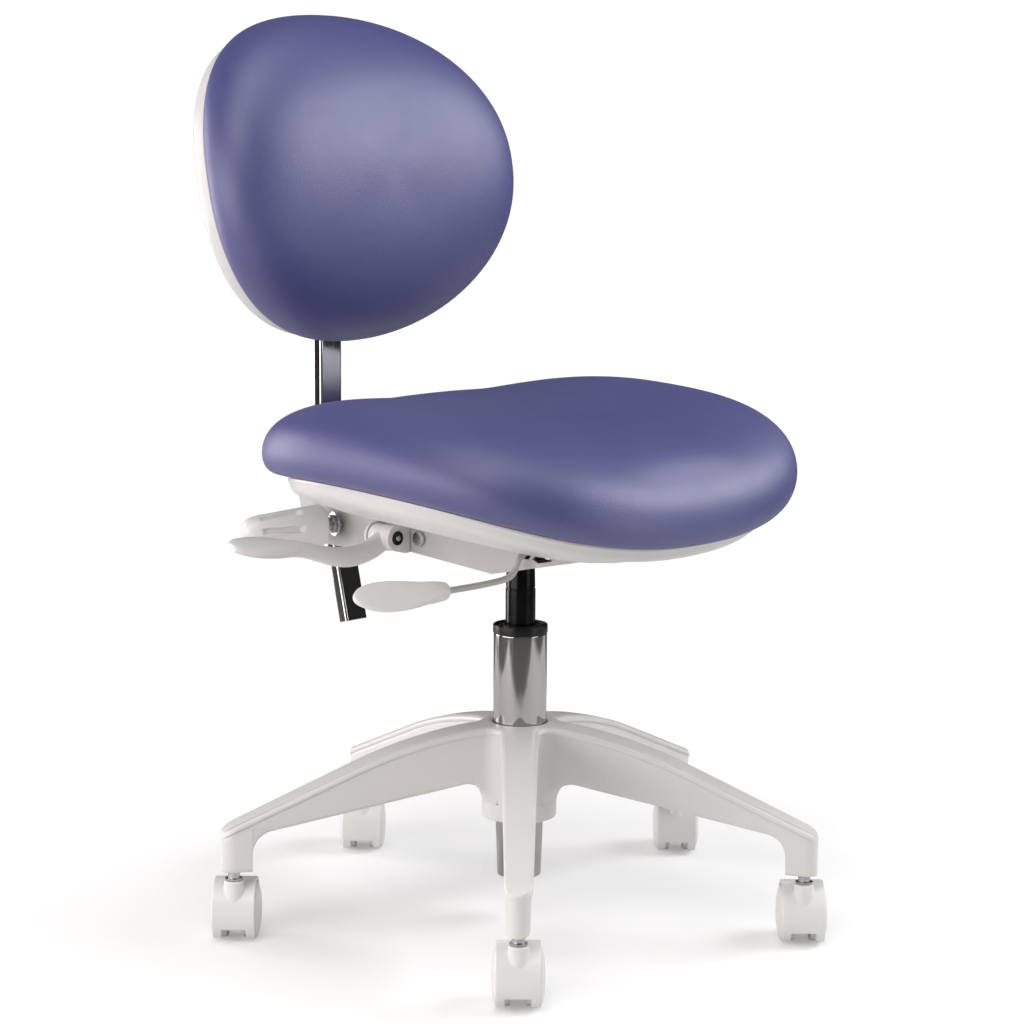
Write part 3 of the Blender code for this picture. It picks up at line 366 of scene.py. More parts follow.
def piece(name, mesh, finish, body, matrix=TO_COLUMN, stands_for=(), smooth=35):
    """A shown piece, made from a bmesh or a finished mesh, riding on a body of the frame."""
    if isinstance(mesh, bmesh.types.BMesh):
        data = bpy.data.meshes.new(name)
        bmesh.ops.recalc_face_normals(mesh, faces=mesh.faces)
        mesh.to_mesh(data)
        mesh.free()
    else:
        data = mesh.copy()
    data.transform(matrix)
    data.materials.clear()
    data.materials.append(FINISHES[finish])
    data.shade_smooth()
    data.set_sharp_from_angle(angle=math.radians(smooth))
    made = bpy.data.objects.new(name, data)
    bpy.context.scene.collection.objects.link(made)
    if finish != "vinyl":
        flatten = made.modifiers.new("flat_faces", "WEIGHTED_NORMAL")
        flatten.keep_sharp = True
        bake(made)
    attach(made, body)
    if stands_for:
        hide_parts(*stands_for)
    return made


def bake(made):
    """Applies every modifier of an object to its mesh."""
    graph = bpy.context.evaluated_depsgraph_get()
    mesh = bpy.data.meshes.new_from_object(made.evaluated_get(graph))
    made.modifiers.clear()
    made.data = mesh
    return made


def solid(mesh, *cutters, joins=(), bevel=0.0, voxel=0.0, relax=0):
    """A finished mesh: a body with others joined to it and cutters taken away, its edges broken.

    With a voxel size the body is remeshed and relaxed, which leaves the small fillets of a moulding.
    """
    scratch = []

    def hold(bm):
        data = bpy.data.meshes.new("scratch")
        bmesh.ops.recalc_face_normals(bm, faces=bm.faces)
        bm.to_mesh(data)
        bm.free()
        held = bpy.data.objects.new("scratch", data)
        bpy.context.scene.collection.objects.link(held)
        scratch.append(held)
        return held

    body = hold(mesh)
    for operation, group in (("UNION", joins), ("DIFFERENCE", cutters)):
        for part in group:
            step = body.modifiers.new(operation, "BOOLEAN")
            step.operation = operation
            step.solver = "EXACT"
            step.object = hold(part)
            bake(body)
    if voxel:
        step = body.modifiers.new("remesh", "REMESH")
        step.mode = "VOXEL"
        step.voxel_size = voxel
        step = body.modifiers.new("relax", "SMOOTH")
        step.factor = 0.5
        step.iterations = relax
        bake(body)
    if bevel:
        weld = bmesh.new()
        weld.from_mesh(body.data)
        bmesh.ops.remove_doubles(weld, verts=weld.verts, dist=1e-6)
        bmesh.ops.dissolve_limit(weld, angle_limit=math.radians(1), verts=weld.verts, edges=weld.edges)
        weld.to_mesh(body.data)
        weld.free()
        step = body.modifiers.new("bevel", "BEVEL")
        step.width = bevel
        step.segments = 3
        step.limit_method = "ANGLE"
        step.angle_limit = math.radians(32)
        step.harden_normals = False
        bake(body)
    data = body.data
    for held in scratch:
        bpy.data.objects.remove(held, do_unlink=True)
    return data


def dress(node, finish):
    """Gives one of the finishes to a CAD solid that is shown as it is."""
    materials = frame["nodes"][node].data.materials
    materials.clear()
    materials.append(FINISHES[finish])


def from_frame(node, finish, bevel, name):
    """A CAD node's shape with its edges broken and rounded."""
    bm = bmesh.new()
    bm.from_mesh(frame["nodes"][node].data)
    bmesh.ops.remove_doubles(bm, verts=bm.verts, dist=2e-6)
    body = [b for b, members in frame["record"]["behaviour"]["bodies"].items() if node in members][0]
    return piece(name, solid(bm, bevel=bevel), finish, body, Matrix.Identity(4), [node], smooth=30)


def skin(rings, closed=False, caps=(0, -1)):
    """Faces between consecutive rings of points. One point is a pole; ends named in caps are filled."""
    bm = bmesh.new()
    loops = [[bm.verts.new(point) for point in ring] for ring in rings]
    pairs = list(zip(loops, loops[1:]))
    if closed:
        pairs.append((loops[-1], loops[0]))
    for first, second in pairs:
        count = max(len(first), len(second))
        for i in range(count if count > 1 else 0):
            j = (i + 1) % count
            corners = [first[i % len(first)], first[j % len(first)]]
            corners += [second[j % len(second)], second[i % len(second)]]
            bm.faces.new([corner for n, corner in enumerate(corners) if corner not in corners[:n]])
    for loop in [loops[end] for end in caps if not closed]:
        if len(loop) > 2:
            bm.faces.new(loop)
    return bm


def add_mesh(target, part, matrix=Matrix.Identity(4)):
    bmesh.ops.transform(part, matrix=matrix, verts=part.verts)
    data = bpy.data.meshes.new("part")
    part.to_mesh(data)
    part.free()
    target.from_mesh(data)
    return target


def turned(profile, sides=96, closed=True):
    """A profile of (radius, height) points turned about Z. Points at radius 0 close the shape."""
    rings = []
    for radius, height in profile:
        if radius == 0:
            rings.append([Vector((0, 0, height))])
        else:
            angles = [math.tau * i / sides for i in range(sides)]
            rings.append([Vector((radius * math.cos(a), radius * math.sin(a), height)) for a in angles])
    return skin(rings, closed)


def rod(radius, low, high, sides=48):
    return turned([(0, low), (radius, low), (radius, high), (0, high)], sides, False)


def box(low, high):
    bm = bmesh.new()
    low, high = Vector(low), Vector(high)
    bmesh.ops.create_cube(bm, size=1.0)
    bmesh.ops.scale(bm, vec=high - low, verts=bm.verts)
    bmesh.ops.translate(bm, vec=(low + high) / 2, verts=bm.verts)
    return bm


def moved(bm, matrix):
    bmesh.ops.transform(bm, matrix=matrix, verts=bm.verts)
    return bm


def prism_y(outline, low, high):
    """An (x, z) outline extruded along Y."""
    return skin([[Vector((a, c, b)) for a, b in outline] for c in (low, high)])


def arc(centre, radius, start, end, steps):
    """Points on a circle arc, angles in degrees."""
    angles = [math.radians(start + (end - start) * i / steps) for i in range(steps + 1)]
    return [(centre[0] + radius * math.cos(a), centre[1] + radius * math.sin(a)) for a in angles]


def smooth_path(points, per_span):
    """Catmull-Rom points through the given vectors."""
    ends = [points[0] * 2 - points[1], *points, points[-1] * 2 - points[-2]]
    made = []
    for a, b, c, d in zip(ends, ends[1:], ends[2:], ends[3:]):
        for i in range(per_span):
            t = i / per_span
            curve = 2 * b + (c - a) * t
            curve += (2 * a - 5 * b + 4 * c - d) * t**2
            curve += (3 * b - a - 3 * c + d) * t**3
            made.append(curve * 0.5)
    return [*made, points[-1]]


def swept(path, section, side):
    """A closed section swept along a path. section(i) gives its (across, over) points."""
    rings = []
    for i, point in enumerate(path):
        ahead = (path[min(i + 1, len(path) - 1)] - path[max(i - 1, 0)]).normalized()
        side = (side - ahead * side.dot(ahead)).normalized()
        over = ahead.cross(side)
        rings.append([point + side * a + over * b for a, b in section(i)])
    return skin(rings)


def oval(half_a, half_b, power, sides):
    """A superellipse outline as (a, b) points."""
    made = []
    for i in range(sides):
        c, s = math.cos(math.tau * i / sides), math.sin(math.tau * i / sides)
        a = half_a * math.copysign(abs(c) ** (2 / power), c)
        b = half_b * math.copysign(abs(s) ** (2 / power), s)
        made.append((a, b))
    return made


# ---------------------------------------------------------------- star base
def leg_half_width(x):
    taper = LEG_HALF_IN + (LEG_HALF_OUT - LEG_HALF_IN) * (x - ROOT_X) / (STEM_RADIUS - ROOT_X)
    if x <= STEM_RADIUS:
        return taper
    return LEG_HALF_OUT * math.sqrt(max(1 - ((x - STEM_RADIUS) / SOCKET_R) ** 2, 0.0025))


def leg_top(x):
    straight, slope = 0.165, 0.41
    if x < straight:
        return HUB_TOP - slope * x**2 / (2 * straight)
    line = HUB_TOP - slope * (x - straight / 2)
    past = max(x - STEM_RADIUS, 0) / SOCKET_R
    return line - 0.0030 * past**2.4


def leg_bottom(x):
    hub_x, socket_x = HUB_R + ROOT_FILLET, SOCKET_IN - SOCKET_FILLET
    if x < hub_x:
        return HUB_FILLET_LOW + math.sqrt(max(ROOT_FILLET**2 - (hub_x - x) ** 2, 0))
    if x < socket_x:
        return HUB_FILLET_LOW + ROOT_FILLET - 0.172 * (x - hub_x)
    if x < SOCKET_IN:
        return 0.0820 + math.sqrt(max(SOCKET_FILLET**2 - (x - socket_x) ** 2, 0))
    return SOCKET_BOTTOM


def leg_rows():
    """A leg's cross-section: (share of the half width, inset in edge radii, from the top?, step in)."""
    rows = [(0.2 * i, 0.0, True, 0.0006 * (0.2 * i) ** 2) for i in range(5)]
    for turn in (72, 54, 36, 18, 0, -18, -36, -54):
        a = math.radians(turn)
        rows.append((1.0, 1 - math.cos(a), True, 0.0006 + EDGE_R * 0.85 * (1 - math.sin(a))))
    rows += [(0.895, 0.0, True, 0.0092), (0.880, 0.0, True, 0.0108)]
    rows += [(0.80, 0.0, False, 0.0040), (0.80, 0.10, False, 0.0014), (0.80, 0.42, False, 0.0)]
    rows += [(0.16 * i, 0.0, False, 0.0) for i in (4, 3, 2, 1, 0)]
    return rows


LEG_ROWS = leg_rows()
TOP_EDGE_ROW = 5
LOW_EDGE_ROW = len(LEG_ROWS) - 6


def leg_point(row, x, y):
    _, _, from_top, step = row
    reach = math.hypot(x, y) if x < 0.1 else x
    return Vector((x, y, leg_top(x) - step if from_top else leg_bottom(reach) + step))


def root_point(row, turn):
    """A point where two legs meet: every edge line runs round the same fillet centre (ROOT_X, ROOT_Y)."""
    share, _, from_top, _ = row
    edge = row
    if share < 0.8 or row in LEG_ROWS[:TOP_EDGE_ROW]:
        edge = LEG_ROWS[TOP_EDGE_ROW if from_top else LOW_EDGE_ROW]
    radius = ROOT_Y - (edge[0] * LEG_HALF_IN - edge[1] * EDGE_R)
    x, y = ROOT_X + radius * math.cos(turn), ROOT_Y + radius * math.sin(turn)
    if edge is not row:
        y *= share / edge[0]
    if not from_top:
        x = max(x, math.sqrt(max((HUB_R + 0.0002) ** 2 - y * y, 0)))
    return leg_point(row, x, y)


def leg_station(x):
    width = leg_half_width(x)
    edge = min(EDGE_R, width * 0.4)
    return [leg_point(row, x, row[0] * width - row[1] * edge) for row in LEG_ROWS]


def star_base():
    halves = [[root_point(row, math.radians(turn)) for row in LEG_ROWS] for turn in range(216, 271, 6)]
    stations = [ROOT_X + 0.0030 * i for i in range(1, 6)]
    stations += [0.056 + 0.0075 * i for i in range(1, 24)]
    fillet_x = SOCKET_IN - SOCKET_FILLET
    stations += [fillet_x + SOCKET_FILLET * math.sin(math.radians(a)) for a in range(12, 90, 11)]
    stations += [SOCKET_IN + 0.0002, SOCKET_IN + 0.006, SOCKET_IN + 0.011]
    ends = (0, 15, 30, 44, 56, 66, 75, 82, 87)
    stations += [STEM_RADIUS + SOCKET_R * math.sin(math.radians(a)) for a in ends]
    halves += [leg_station(x) for x in stations]
    mirror = Matrix.Diagonal((1, -1, 1))
    turns = [Matrix.Rotation(FIRST_LEG + LEG_STEP * i, 4, "Z") for i in range(LEG_COUNT)]
    whole = bmesh.new()
    for turn in turns:
        rings = [[*half, *[mirror @ point for point in half[-2:0:-1]]] for half in halves]
        add_mesh(whole, skin(rings, caps=(-1,)), turn)
    top_half = halves[0][: TOP_EDGE_ROW + 1]
    low_half = halves[0][:LOW_EDGE_ROW - 1 : -1]
    rims = []
    for half in (top_half, low_half):
        across = [*[mirror @ p for p in half[:0:-1]], *half[:-1]]
        rims.append([turn @ p for turn in turns for p in across])

    def ring(radius, z):
        """The hub's edge line of that height, drawn in or out to a circle."""
        share = (HUB_TOP - z) / (HUB_TOP - HUB_FILLET_LOW)
        mixed = [high.lerp(low, min(share, 1)) for high, low in zip(*rims)]
        return [Vector((p.x, p.y, 0)).normalized() * radius + Vector((0, 0, z)) for p in mixed]

    inner = TUBE_R + 0.0006
    rim = leg_top(inner)
    bore = [ring(inner + 0.0016, rim), ring(inner + 0.0004, rim - 0.0008), ring(inner, rim - 0.0026)]
    bore += [ring(inner, TAPER_TOP), ring(0.0234, HUB_BOTTOM + 0.001), ring(0.0242, HUB_BOTTOM)]
    skirt = [ring(r, z) for r, z in arc((HUB_R - 0.0022, HUB_BOTTOM + 0.0022), 0.0022, -90, 0, 4)]
    skirt += [ring(HUB_R, HUB_FILLET_LOW - 0.006), ring(HUB_R, HUB_FILLET_LOW - 0.001)]
    add_mesh(whole, skin([rims[0], *bore, *skirt, rims[1]], caps=()))
    bmesh.ops.remove_doubles(whole, verts=whole.verts, dist=1e-5)
    piece("base_moulding", whole, "white", "base", stands_for=["star_base"], smooth=50)


# ---------------------------------------------------------------- casters
def hood_mesh():
    """An arched hood on a central web, a boss for the stem on its front and a notch in its lip."""
    axle = (CASTER_TRAIL, WHEEL_R)
    lip, tail = 224.0, 8.0
    arch = [*arc(axle, HOOD_R, lip, tail, 60), *arc(axle, HOOD_R - HOOD_WALL, tail, lip, 60)]
    web = [*arc(axle, HOOD_R - HOOD_WALL / 2, lip - 4, tail + 4, 40), *arc(axle, 0.0085, -10, -130, 14)]
    boss = turned([(0, 0.030), (0.0090, 0.030), (0.0090, 0.0572), (0.0082, 0.0580), (0, 0.0580)], 48, False)
    across = Matrix.Translation((axle[0], 0, axle[1])) @ Matrix.Rotation(math.radians(90), 4, "X")
    wells = [moved(rod(WHEEL_R + 0.0011, low, low + 0.03, 96), across) for low in (-0.0362, 0.0062)]
    notch = box((-0.02, -0.0112, -0.01), (0.0045, 0.0112, 0.0130))
    joins = [prism_y(web, -0.0060, 0.0060), boss]
    return solid(prism_y(arch, -HOOD_HALF, HOOD_HALF), *wells, notch, joins=joins, voxel=0.00062, relax=3)


def wheel_mesh():
    """A tread with softened shoulders and a dished, domed cap."""
    profile = [(0.0036, 0.0068), (0.0190, 0.0068), (0.0228, 0.0070)]
    profile += arc((0.0236, 0.0084), 0.0014, -90, 0, 5)
    profile += arc((0.0233, 0.0186), 0.0017, 0, 80, 6)
    profile += [(0.0222, 0.0208), (0.0214, 0.0212), (0.0206, 0.0211), (0.0198, 0.0213), (0.0170, 0.0222)]
    profile += [(0.0120, 0.0228), (0.0060, 0.0231), (0, 0.0232), (0, 0.0209), (0.0036, 0.0209)]
    return turned(profile, 72)


def casters():
    hood, wheel = hood_mesh(), solid(wheel_mesh())
    for i in range(1, LEG_COUNT + 1):
        turn = FIRST_LEG + LEG_STEP * (i - 1)
        foot = Matrix.Translation((STEM_RADIUS * math.cos(turn), STEM_RADIUS * math.sin(turn), 0))
        swivel = TO_COLUMN @ foot @ Matrix.Rotation(CASTER_HEADING, 4, "Z")
        spin = swivel @ Matrix.Translation((CASTER_TRAIL, 0, WHEEL_R))
        piece(f"hood_{i}", hood, "caster", f"caster_{i}", swivel, [f"caster_hood_{i}"], smooth=60)
        for side, quarter in (("left", 90), ("right", -90)):
            place = spin @ Matrix.Rotation(math.radians(quarter), 4, "X")
            body = f"wheel_{side}_{i}"
            piece(f"roller_{side}_{i}", wheel, "caster", body, place, [body], smooth=40)
        profile = [(0, 0.0340), (0.0050, 0.0340), (0.0055, 0.0345), (0.0055, 0.0586), (0.0076, 0.0588)]
        profile += [(0.0080, 0.0592), (0.0080, 0.0600), (0.0076, 0.0603), (0.0055, 0.0604)]
        profile += [(0.0055, 0.0940), (0, 0.0940)]
        stem = turned(profile, 48, False)
        piece(f"stem_{i}", stem, "steel", "base", swivel, [f"caster_stem_{i}"])
        dress(f"caster_axle_{i}", "steel")


# ---------------------------------------------------------------- gas column
def gas_column():
    low_r, wall = 0.0058, 0.0018
    outer = [(low_r, TUBE_FOOT), (TUBE_FOOT_R - 0.0012, TUBE_FOOT)]
    outer += [(TUBE_FOOT_R - 0.0003, TUBE_FOOT + 0.0005), (TUBE_FOOT_R, TUBE_FOOT + 0.0014)]
    outer += [(TUBE_R, TAPER_TOP), (TUBE_R, TUBE_TOP - 0.0008), (TUBE_R - 0.0004, TUBE_TOP)]
    outer += [(TUBE_R - 0.0016, TUBE_TOP), (TUBE_R - wall, TUBE_TOP - 0.0008), (TUBE_R - wall, TAPER_TOP)]
    outer += [(TUBE_FOOT_R - wall, TUBE_FOOT + 0.0045), (low_r, TUBE_FOOT + 0.0045)]
    piece("column_tube", turned(outer), "chrome", "base", stands_for=["outer_tube"])
    inner, seat_on = 0.01445, TUBE_TOP + 0.0003
    bush = [(inner, 0.1980), (0.02275, 0.1980), (0.02275, seat_on), (0.0252, seat_on)]
    bush += [(0.0256, seat_on + 0.0006), (0.0256, BUSH_TOP - 0.0006), (0.0252, BUSH_TOP)]
    bush += [(0.0238, BUSH_TOP), (0.0233, BUSH_TOP - 0.0004), (0.0230, BUSH_TOP - 0.0022)]
    bush += [(0.0176, BUSH_TOP - 0.0024), (0.0172, BUSH_TOP - 0.0008)]
    bush += [(0.0168, BUSH_TOP - 0.0004), (inner, BUSH_TOP - 0.0004)]
    piece("tube_bushing", turned(bush), "black", "base", stands_for=["guide_bushing"])
    tube = [(0.0120, 0.0880), (PISTON_TUBE_R - 0.0005, 0.0880), (PISTON_TUBE_R, 0.0886)]
    tube += [(PISTON_TUBE_R, 0.3156), (PISTON_TUBE_R - 0.0008, 0.3160), (PISTON_TUBE_R - 0.0008, 0.3170)]
    tube += [(PISTON_TUBE_R - 0.0003, 0.3176), (PISTON_TUBE_R - 0.0010, PISTON_TUBE_TOP - 0.0006)]
    tube += [(PISTON_TUBE_R - 0.0016, PISTON_TUBE_TOP), (0.0034, PISTON_TUBE_TOP)]
    tube += [(0.0034, 0.3350), (0.0120, 0.3350)]
    piece("lift_tube", turned(tube), "enamel", "seat", stands_for=["pressure_tube"])


# ---------------------------------------------------------------- seat
def seat_level(x, y):
    forward = SEAT_MIDDLE_Y - y
    return SEAT_DISH * x * x + SEAT_ROLL_OFF * forward**2 + SEAT_TWIST * forward * x * x


def seat_rings(steps, sides=112):
    """Rings at (scale of the outline, height over the contour); scale 0 is a pole."""
    outline = oval(SEAT_HALF_WIDTH, SEAT_HALF_LENGTH, SEAT_SQUARENESS, sides)
    outline = [(x * (1 + SEAT_EGG * y / SEAT_HALF_LENGTH), y) for x, y in outline]
    rings = []
    for scale, height in steps:
        if scale == 0:
            rings.append([Vector((0, SEAT_MIDDLE_Y, height))])
            continue
        lowest = 0 if scale < PAN_SCALE else -1
        flat = [(x * scale, y * scale + SEAT_MIDDLE_Y) for x, y in outline]
        rings.append([Vector((x, y, max(seat_level(x, y), lowest) + height)) for x, y in flat])
    return rings


def crown(rim, rise, count):
    """Cushion top from its widest outline to its pole, as (scale, height) steps."""
    made = []
    for i in range(count + 1):
        a = math.radians(90 * i / count)
        made.append((math.cos(a) ** 0.55 if i < count else 0, rim + rise * math.sin(a) ** 0.9))
    return made


def fine(steps, extra):
    """More (scale, height) steps between the given ones, on straight lines."""
    made = []
    for (a, b), (c, d) in zip(steps, steps[1:]):
        made += [(a + (c - a) * i / extra, b + (d - b) * i / extra) for i in range(extra)]
    return [*made, steps[-1]]


def inflate(made, voxel, crown_way):
    """Blows up a remeshed copy as cloth and gives its swelling, evened out, to the crowned side."""
    scene = bpy.context.scene
    blown = made.copy()
    blown.data = made.data.copy()
    scene.collection.objects.link(blown)
    step = blown.modifiers.new("remesh", "REMESH")
    step.mode = "VOXEL"
    step.voxel_size = voxel
    bake(blown)
    before = [(v.co.copy(), v.normal.copy()) for v in blown.data.vertices]
    cloth = blown.modifiers.new("cloth", "CLOTH")
    settings = cloth.settings
    settings.quality = 6
    settings.mass = 0.4
    settings.tension_stiffness = settings.compression_stiffness = 22
    settings.shear_stiffness = 12
    settings.bending_stiffness = 4
    settings.use_pressure = True
    settings.uniform_pressure_force = CLOTH_PRESSURE
    settings.effector_weights.gravity = 0
    cloth.point_cache.frame_start, cloth.point_cache.frame_end = 1, CLOTH_FRAMES
    for number in range(1, CLOTH_FRAMES + 1):
        scene.frame_set(number)
        bpy.context.view_layer.update()
    bake(blown)
    scene.frame_set(1)
    swell = [(v.co - start).dot(outward) for v, (start, outward) in zip(blown.data.vertices, before)]
    swell = even([max(0, min(depth, SWELL_CAP)) for depth in swell], blown.data.edges, EVEN_PASSES)
    bpy.data.objects.remove(blown, do_unlink=True)
    near = KDTree(len(before))
    for index, (start, _) in enumerate(before):
        near.insert(start, index)
    near.balance()
    grown = []
    for vertex in made.data.vertices:
        found = [(swell[index], 1 / (gap + 0.001)) for _, index, gap in near.find_n(vertex.co, 6)]
        depth = sum(value * weight for value, weight in found) / sum(weight for _, weight in found)
        grown.append(vertex.co + vertex.normal * depth * max(vertex.normal.dot(crown_way), 0))
    for vertex, place in zip(made.data.vertices, grown):
        vertex.co = place
    return made


def even(values, edges, times):
    """Each value drawn towards its neighbours' mean, so that the cover is tight and has no puckers."""
    ends = [tuple(edge.vertices) for edge in edges]
    share = [0] * len(values)
    for a, b in ends:
        share[a] += 1
        share[b] += 1
    for _ in range(times):
        total = [0.0] * len(values)
        for a, b in ends:
            total[a] += values[b]
            total[b] += values[a]
        values = [(own + near / count) / 2 for own, near, count in zip(values, total, share)]
    return values


def relax(made, factor, times):
    step = made.modifiers.new("relax", "SMOOTH")
    step.factor = factor
    step.iterations = times
    step = made.modifiers.new("finer", "SUBSURF")
    step.levels = step.render_levels = 1
    return bake(made)


def cushion(name, rings, node, body, matrix, voxel, crown_way):
    """A padded piece in the space of its CAD solid, simulated and then finished."""
    data = bpy.data.meshes.new(name)
    bm = skin(rings)
    bmesh.ops.recalc_face_normals(bm, faces=bm.faces)
    bm.to_mesh(data)
    bm.free()
    scratch = bpy.data.objects.new(name, data)
    bpy.context.scene.collection.objects.link(scratch)
    scratch.matrix_world = matrix
    bpy.context.view_layer.update()
    inflate(scratch, voxel, crown_way)
    relax(scratch, 0.5, 4)
    mesh = scratch.data
    bpy.data.objects.remove(scratch, do_unlink=True)
    made = piece(name, mesh, "vinyl", body, matrix, [node], smooth=80)
    return made


def seat():
    skirt, wall, floor = 0.0255, 0.003, 0.0005

    def pan(height):
        steps = ((0, 0), (0.3, 0), (0.55, 0), (0.70, 0.002), (0.83, 0.0085))
        return [(scale, height + rise) for scale, rise in steps]

    outside = [*fine(pan(floor), 3), (0.852, floor + 0.0102), (0.870, floor + 0.0122)]
    outside += [(0.881, floor + 0.0142), (0.887, floor + 0.0166), (0.8895, floor + 0.0190)]
    lip = [(0.0030, 0.0042), (0.0040, 0.0034), (0.0068, 0.0030)]
    lip += [(0.0080, 0.0022), (0.0080, 0.0008), (0.0060, 0)]
    outside += [(SHELL_SCALE + out, skirt - down) for out, down in lip]
    inside = [(SHELL_SCALE - 0.010, skirt), (SHELL_SCALE - 0.014, floor + 0.0175)]
    inside += fine(pan(floor + wall)[::-1], 3)
    tray = skin(seat_rings(outside + inside))
    piece("seat_tray", tray, "white", "seat", SEAT_FRAME, ["seat_shell"], smooth=50)

    under, plug = skirt + 0.0006, 0.0151
    steps = [*pan(plug), (0.852, plug + 0.0088), (0.862, under), (0.905, under), (0.940, under + 0.0002)]
    steps += [(0.964, under + 0.0016), (0.980, under + 0.0048), (0.990, under + 0.0090)]
    steps += crown(CUSHION_RIM, CUSHION_CROWN, 14)
    cushion("seat_pad", seat_rings(steps), "seat_cushion", "seat", SEAT_FRAME, 0.0055, Vector((0, 0, 1)))


# ---------------------------------------------------------------- levers
def height_lever():
    over_pin = 0.3585 + 0.0006 + LEVER_R
    corners = [
        Vector((0.0120, 0.0000, over_pin)),
        Vector((-0.0080, -0.0020, over_pin)),
        Vector((-0.0300, -0.0380, 0.3618)),
        Vector((-0.0450, -0.0500, 0.3610)),
        Vector((-0.0540, -0.0505, 0.3570)),
        Vector((-0.0590, -0.0500, 0.3470)),
        Vector((-0.0680, -0.0490, 0.3400)),
        Vector((-0.0950, -0.0460, 0.3372)),
        Vector((-0.1400, -0.0400, 0.3357)),
    ]
    outwards = (corners[-1] - corners[-2]).normalized()
    path = [*smooth_path(corners, 9), corners[-1] + outwards * 0.012]
    wire = swept(path, lambda i: oval(LEVER_R, LEVER_R, 2, 24), Vector((0, 1, 0)))
    piece("lift_wire", wire, "paint", "height_lever", stands_for=["height_lever"], smooth=50)
    start, tip = corners[-1] - outwards * 0.004, Vector((-0.2290, -0.0200, 0.3370))
    roll = math.radians(35)
    shape = [(0, 0.0064, 0.0064), (0.02, 0.0076, 0.0074), (0.06, 0.0085, 0.0082)]
    shape += [(0.16, 0.0105, 0.0085), (0.24, 0.0118, 0.0072), (0.38, 0.0155, 0.0052)]
    shape += [(0.56, 0.0180, 0.0045), (0.74, 0.0175, 0.0042), (0.88, 0.0135, 0.0038)]
    shape += [(0.96, 0.0080, 0.0030), (0.99, 0.0042, 0.0022), (1.0, 0.0012, 0.0008)]
    shape = smooth_path([Vector(step) for step in shape], 5)
    path = [start.lerp(tip, step.x) for step in shape]
    side = Vector((0, -math.cos(roll), -math.sin(roll)))
    blade = swept(path, lambda i: oval(shape[i].y, shape[i].z, 2.3, 40), side)
    piece("lift_paddle", blade, "lever", "height_lever", stands_for=["height_paddle"], smooth=60)


def angle_lever():
    shape = [
        (-0.0640, 0.3570, 0.0078, 0.0100),
        (-0.0760, 0.3500, 0.0080, 0.0098),
        (-0.0920, 0.3455, 0.0085, 0.0098),
        (-0.1110, 0.3440, 0.0090, 0.0096),
        (-0.1300, 0.3468, 0.0092, 0.0088),
        (-0.1480, 0.3520, 0.0094, 0.0078),
        (-0.1650, 0.3568, 0.0100, 0.0070),
        (-0.1800, 0.3598, 0.0118, 0.0064),
        (-0.1960, 0.3622, 0.0150, 0.0060),
        (-0.2130, 0.3645, 0.0172, 0.0056),
        (-0.2300, 0.3665, 0.0165, 0.0050),
        (-0.2430, 0.3682, 0.0125, 0.0042),
        (-0.2510, 0.3692, 0.0065, 0.0030),
    ]
    line = smooth_path([Vector((x, CLEVIS_PIN.y, z)) for x, z, _, _ in shape], 4)
    size = smooth_path([Vector((a, b, 0)) for _, _, a, b in shape], 4)

    def section(i):
        """An oval that rolls over the arm's length, which lowers the paddle's front edge."""
        roll = math.radians(22) * min(max((i / 4 - 3) / 5, 0), 1)
        c, s = math.cos(roll), math.sin(roll)
        return [(a * c + b * s, b * c - a * s) for a, b in oval(size[i].x, size[i].y, 2.3, 36)]

    arm = swept(line, section, Vector((0, 1, 0)))
    pivot = Matrix.Translation(CLEVIS_PIN) @ Matrix.Rotation(math.radians(-90), 4, "X")
    half = CLEVIS_HALF - 0.0038
    boss = moved(rod(0.0115, -half, half, 64), pivot)
    bore = moved(rod(0.0043, -0.03, 0.03, 32), pivot)
    made = solid(arm, bore, joins=[boss], voxel=0.0008, relax=4)
    piece("tilt_lever", made, "lever", "angle_lever", stands_for=["angle_lever"], smooth=70)


# ---------------------------------------------------------------- knob, bar and backrest
def height_knob():
    sides, flutes, depth = 144, 6, 0.0032
    stations = [(0.0, 0.90), (0.006, 0.965), (0.016, 0.994), (0.03, 1.0), (0.10, 0.968), (0.20, 0.926)]
    stations += [(0.27 + 0.02 * i, 0.897 - 0.0078 * i) for i in range(25)]
    stations += [(0.78, 0.698), (0.82, 0.676), (0.86, 0.645), (0.90, 0.598), (0.935, 0.530), (0.96, 0.450)]
    stations += [(0.98, 0.340), (0.993, 0.200)]
    rings = []
    for t, width in stations:
        begin = min(max((t - 0.29) / 0.07, 0), 1)
        end = min(max((0.80 - t) / 0.03, 0), 1)
        ring = []
        for i in range(sides):
            a = math.tau * i / sides
            across = (a * flutes / math.tau + 0.5) % 1 - 0.5
            reach = 0.175 + 0.06 * t
            wall = min(max((reach - abs(across)) / 0.035, 0), 1)
            blend = wall * begin * end
            radius = KNOB_R * width - depth * blend * blend * (3 - 2 * blend)
            ring.append(Vector((radius * math.cos(a), radius * math.sin(a), KNOB_START + KNOB_LENGTH * t)))
        rings.append(ring)
    rings.append([Vector((0, 0, KNOB_START + KNOB_LENGTH))])
    piece("clamp_knob", skin(rings), "lever", "height_knob", STUD_FRAME, ["height_knob"], smooth=40)
    dress("knob_stud", "steel")
    nut = [(0.0043, 0.0044), (0.0120, 0.0044), (0.0122, 0.0048), (0.0122, 0.0060)]
    nut += [(0.0118, 0.0064), (0.0090, 0.0066), (0.0090, 0.0094), (0.0086, 0.0100)]
    nut += [(0.0066, 0.0102), (0.0066, 0.0128), (0.0062, 0.0130), (0.0043, 0.0130)]
    piece("stud_collar", turned(nut, 64), "steel", "back_bracket", STUD_FRAME, ["knob_nut"])


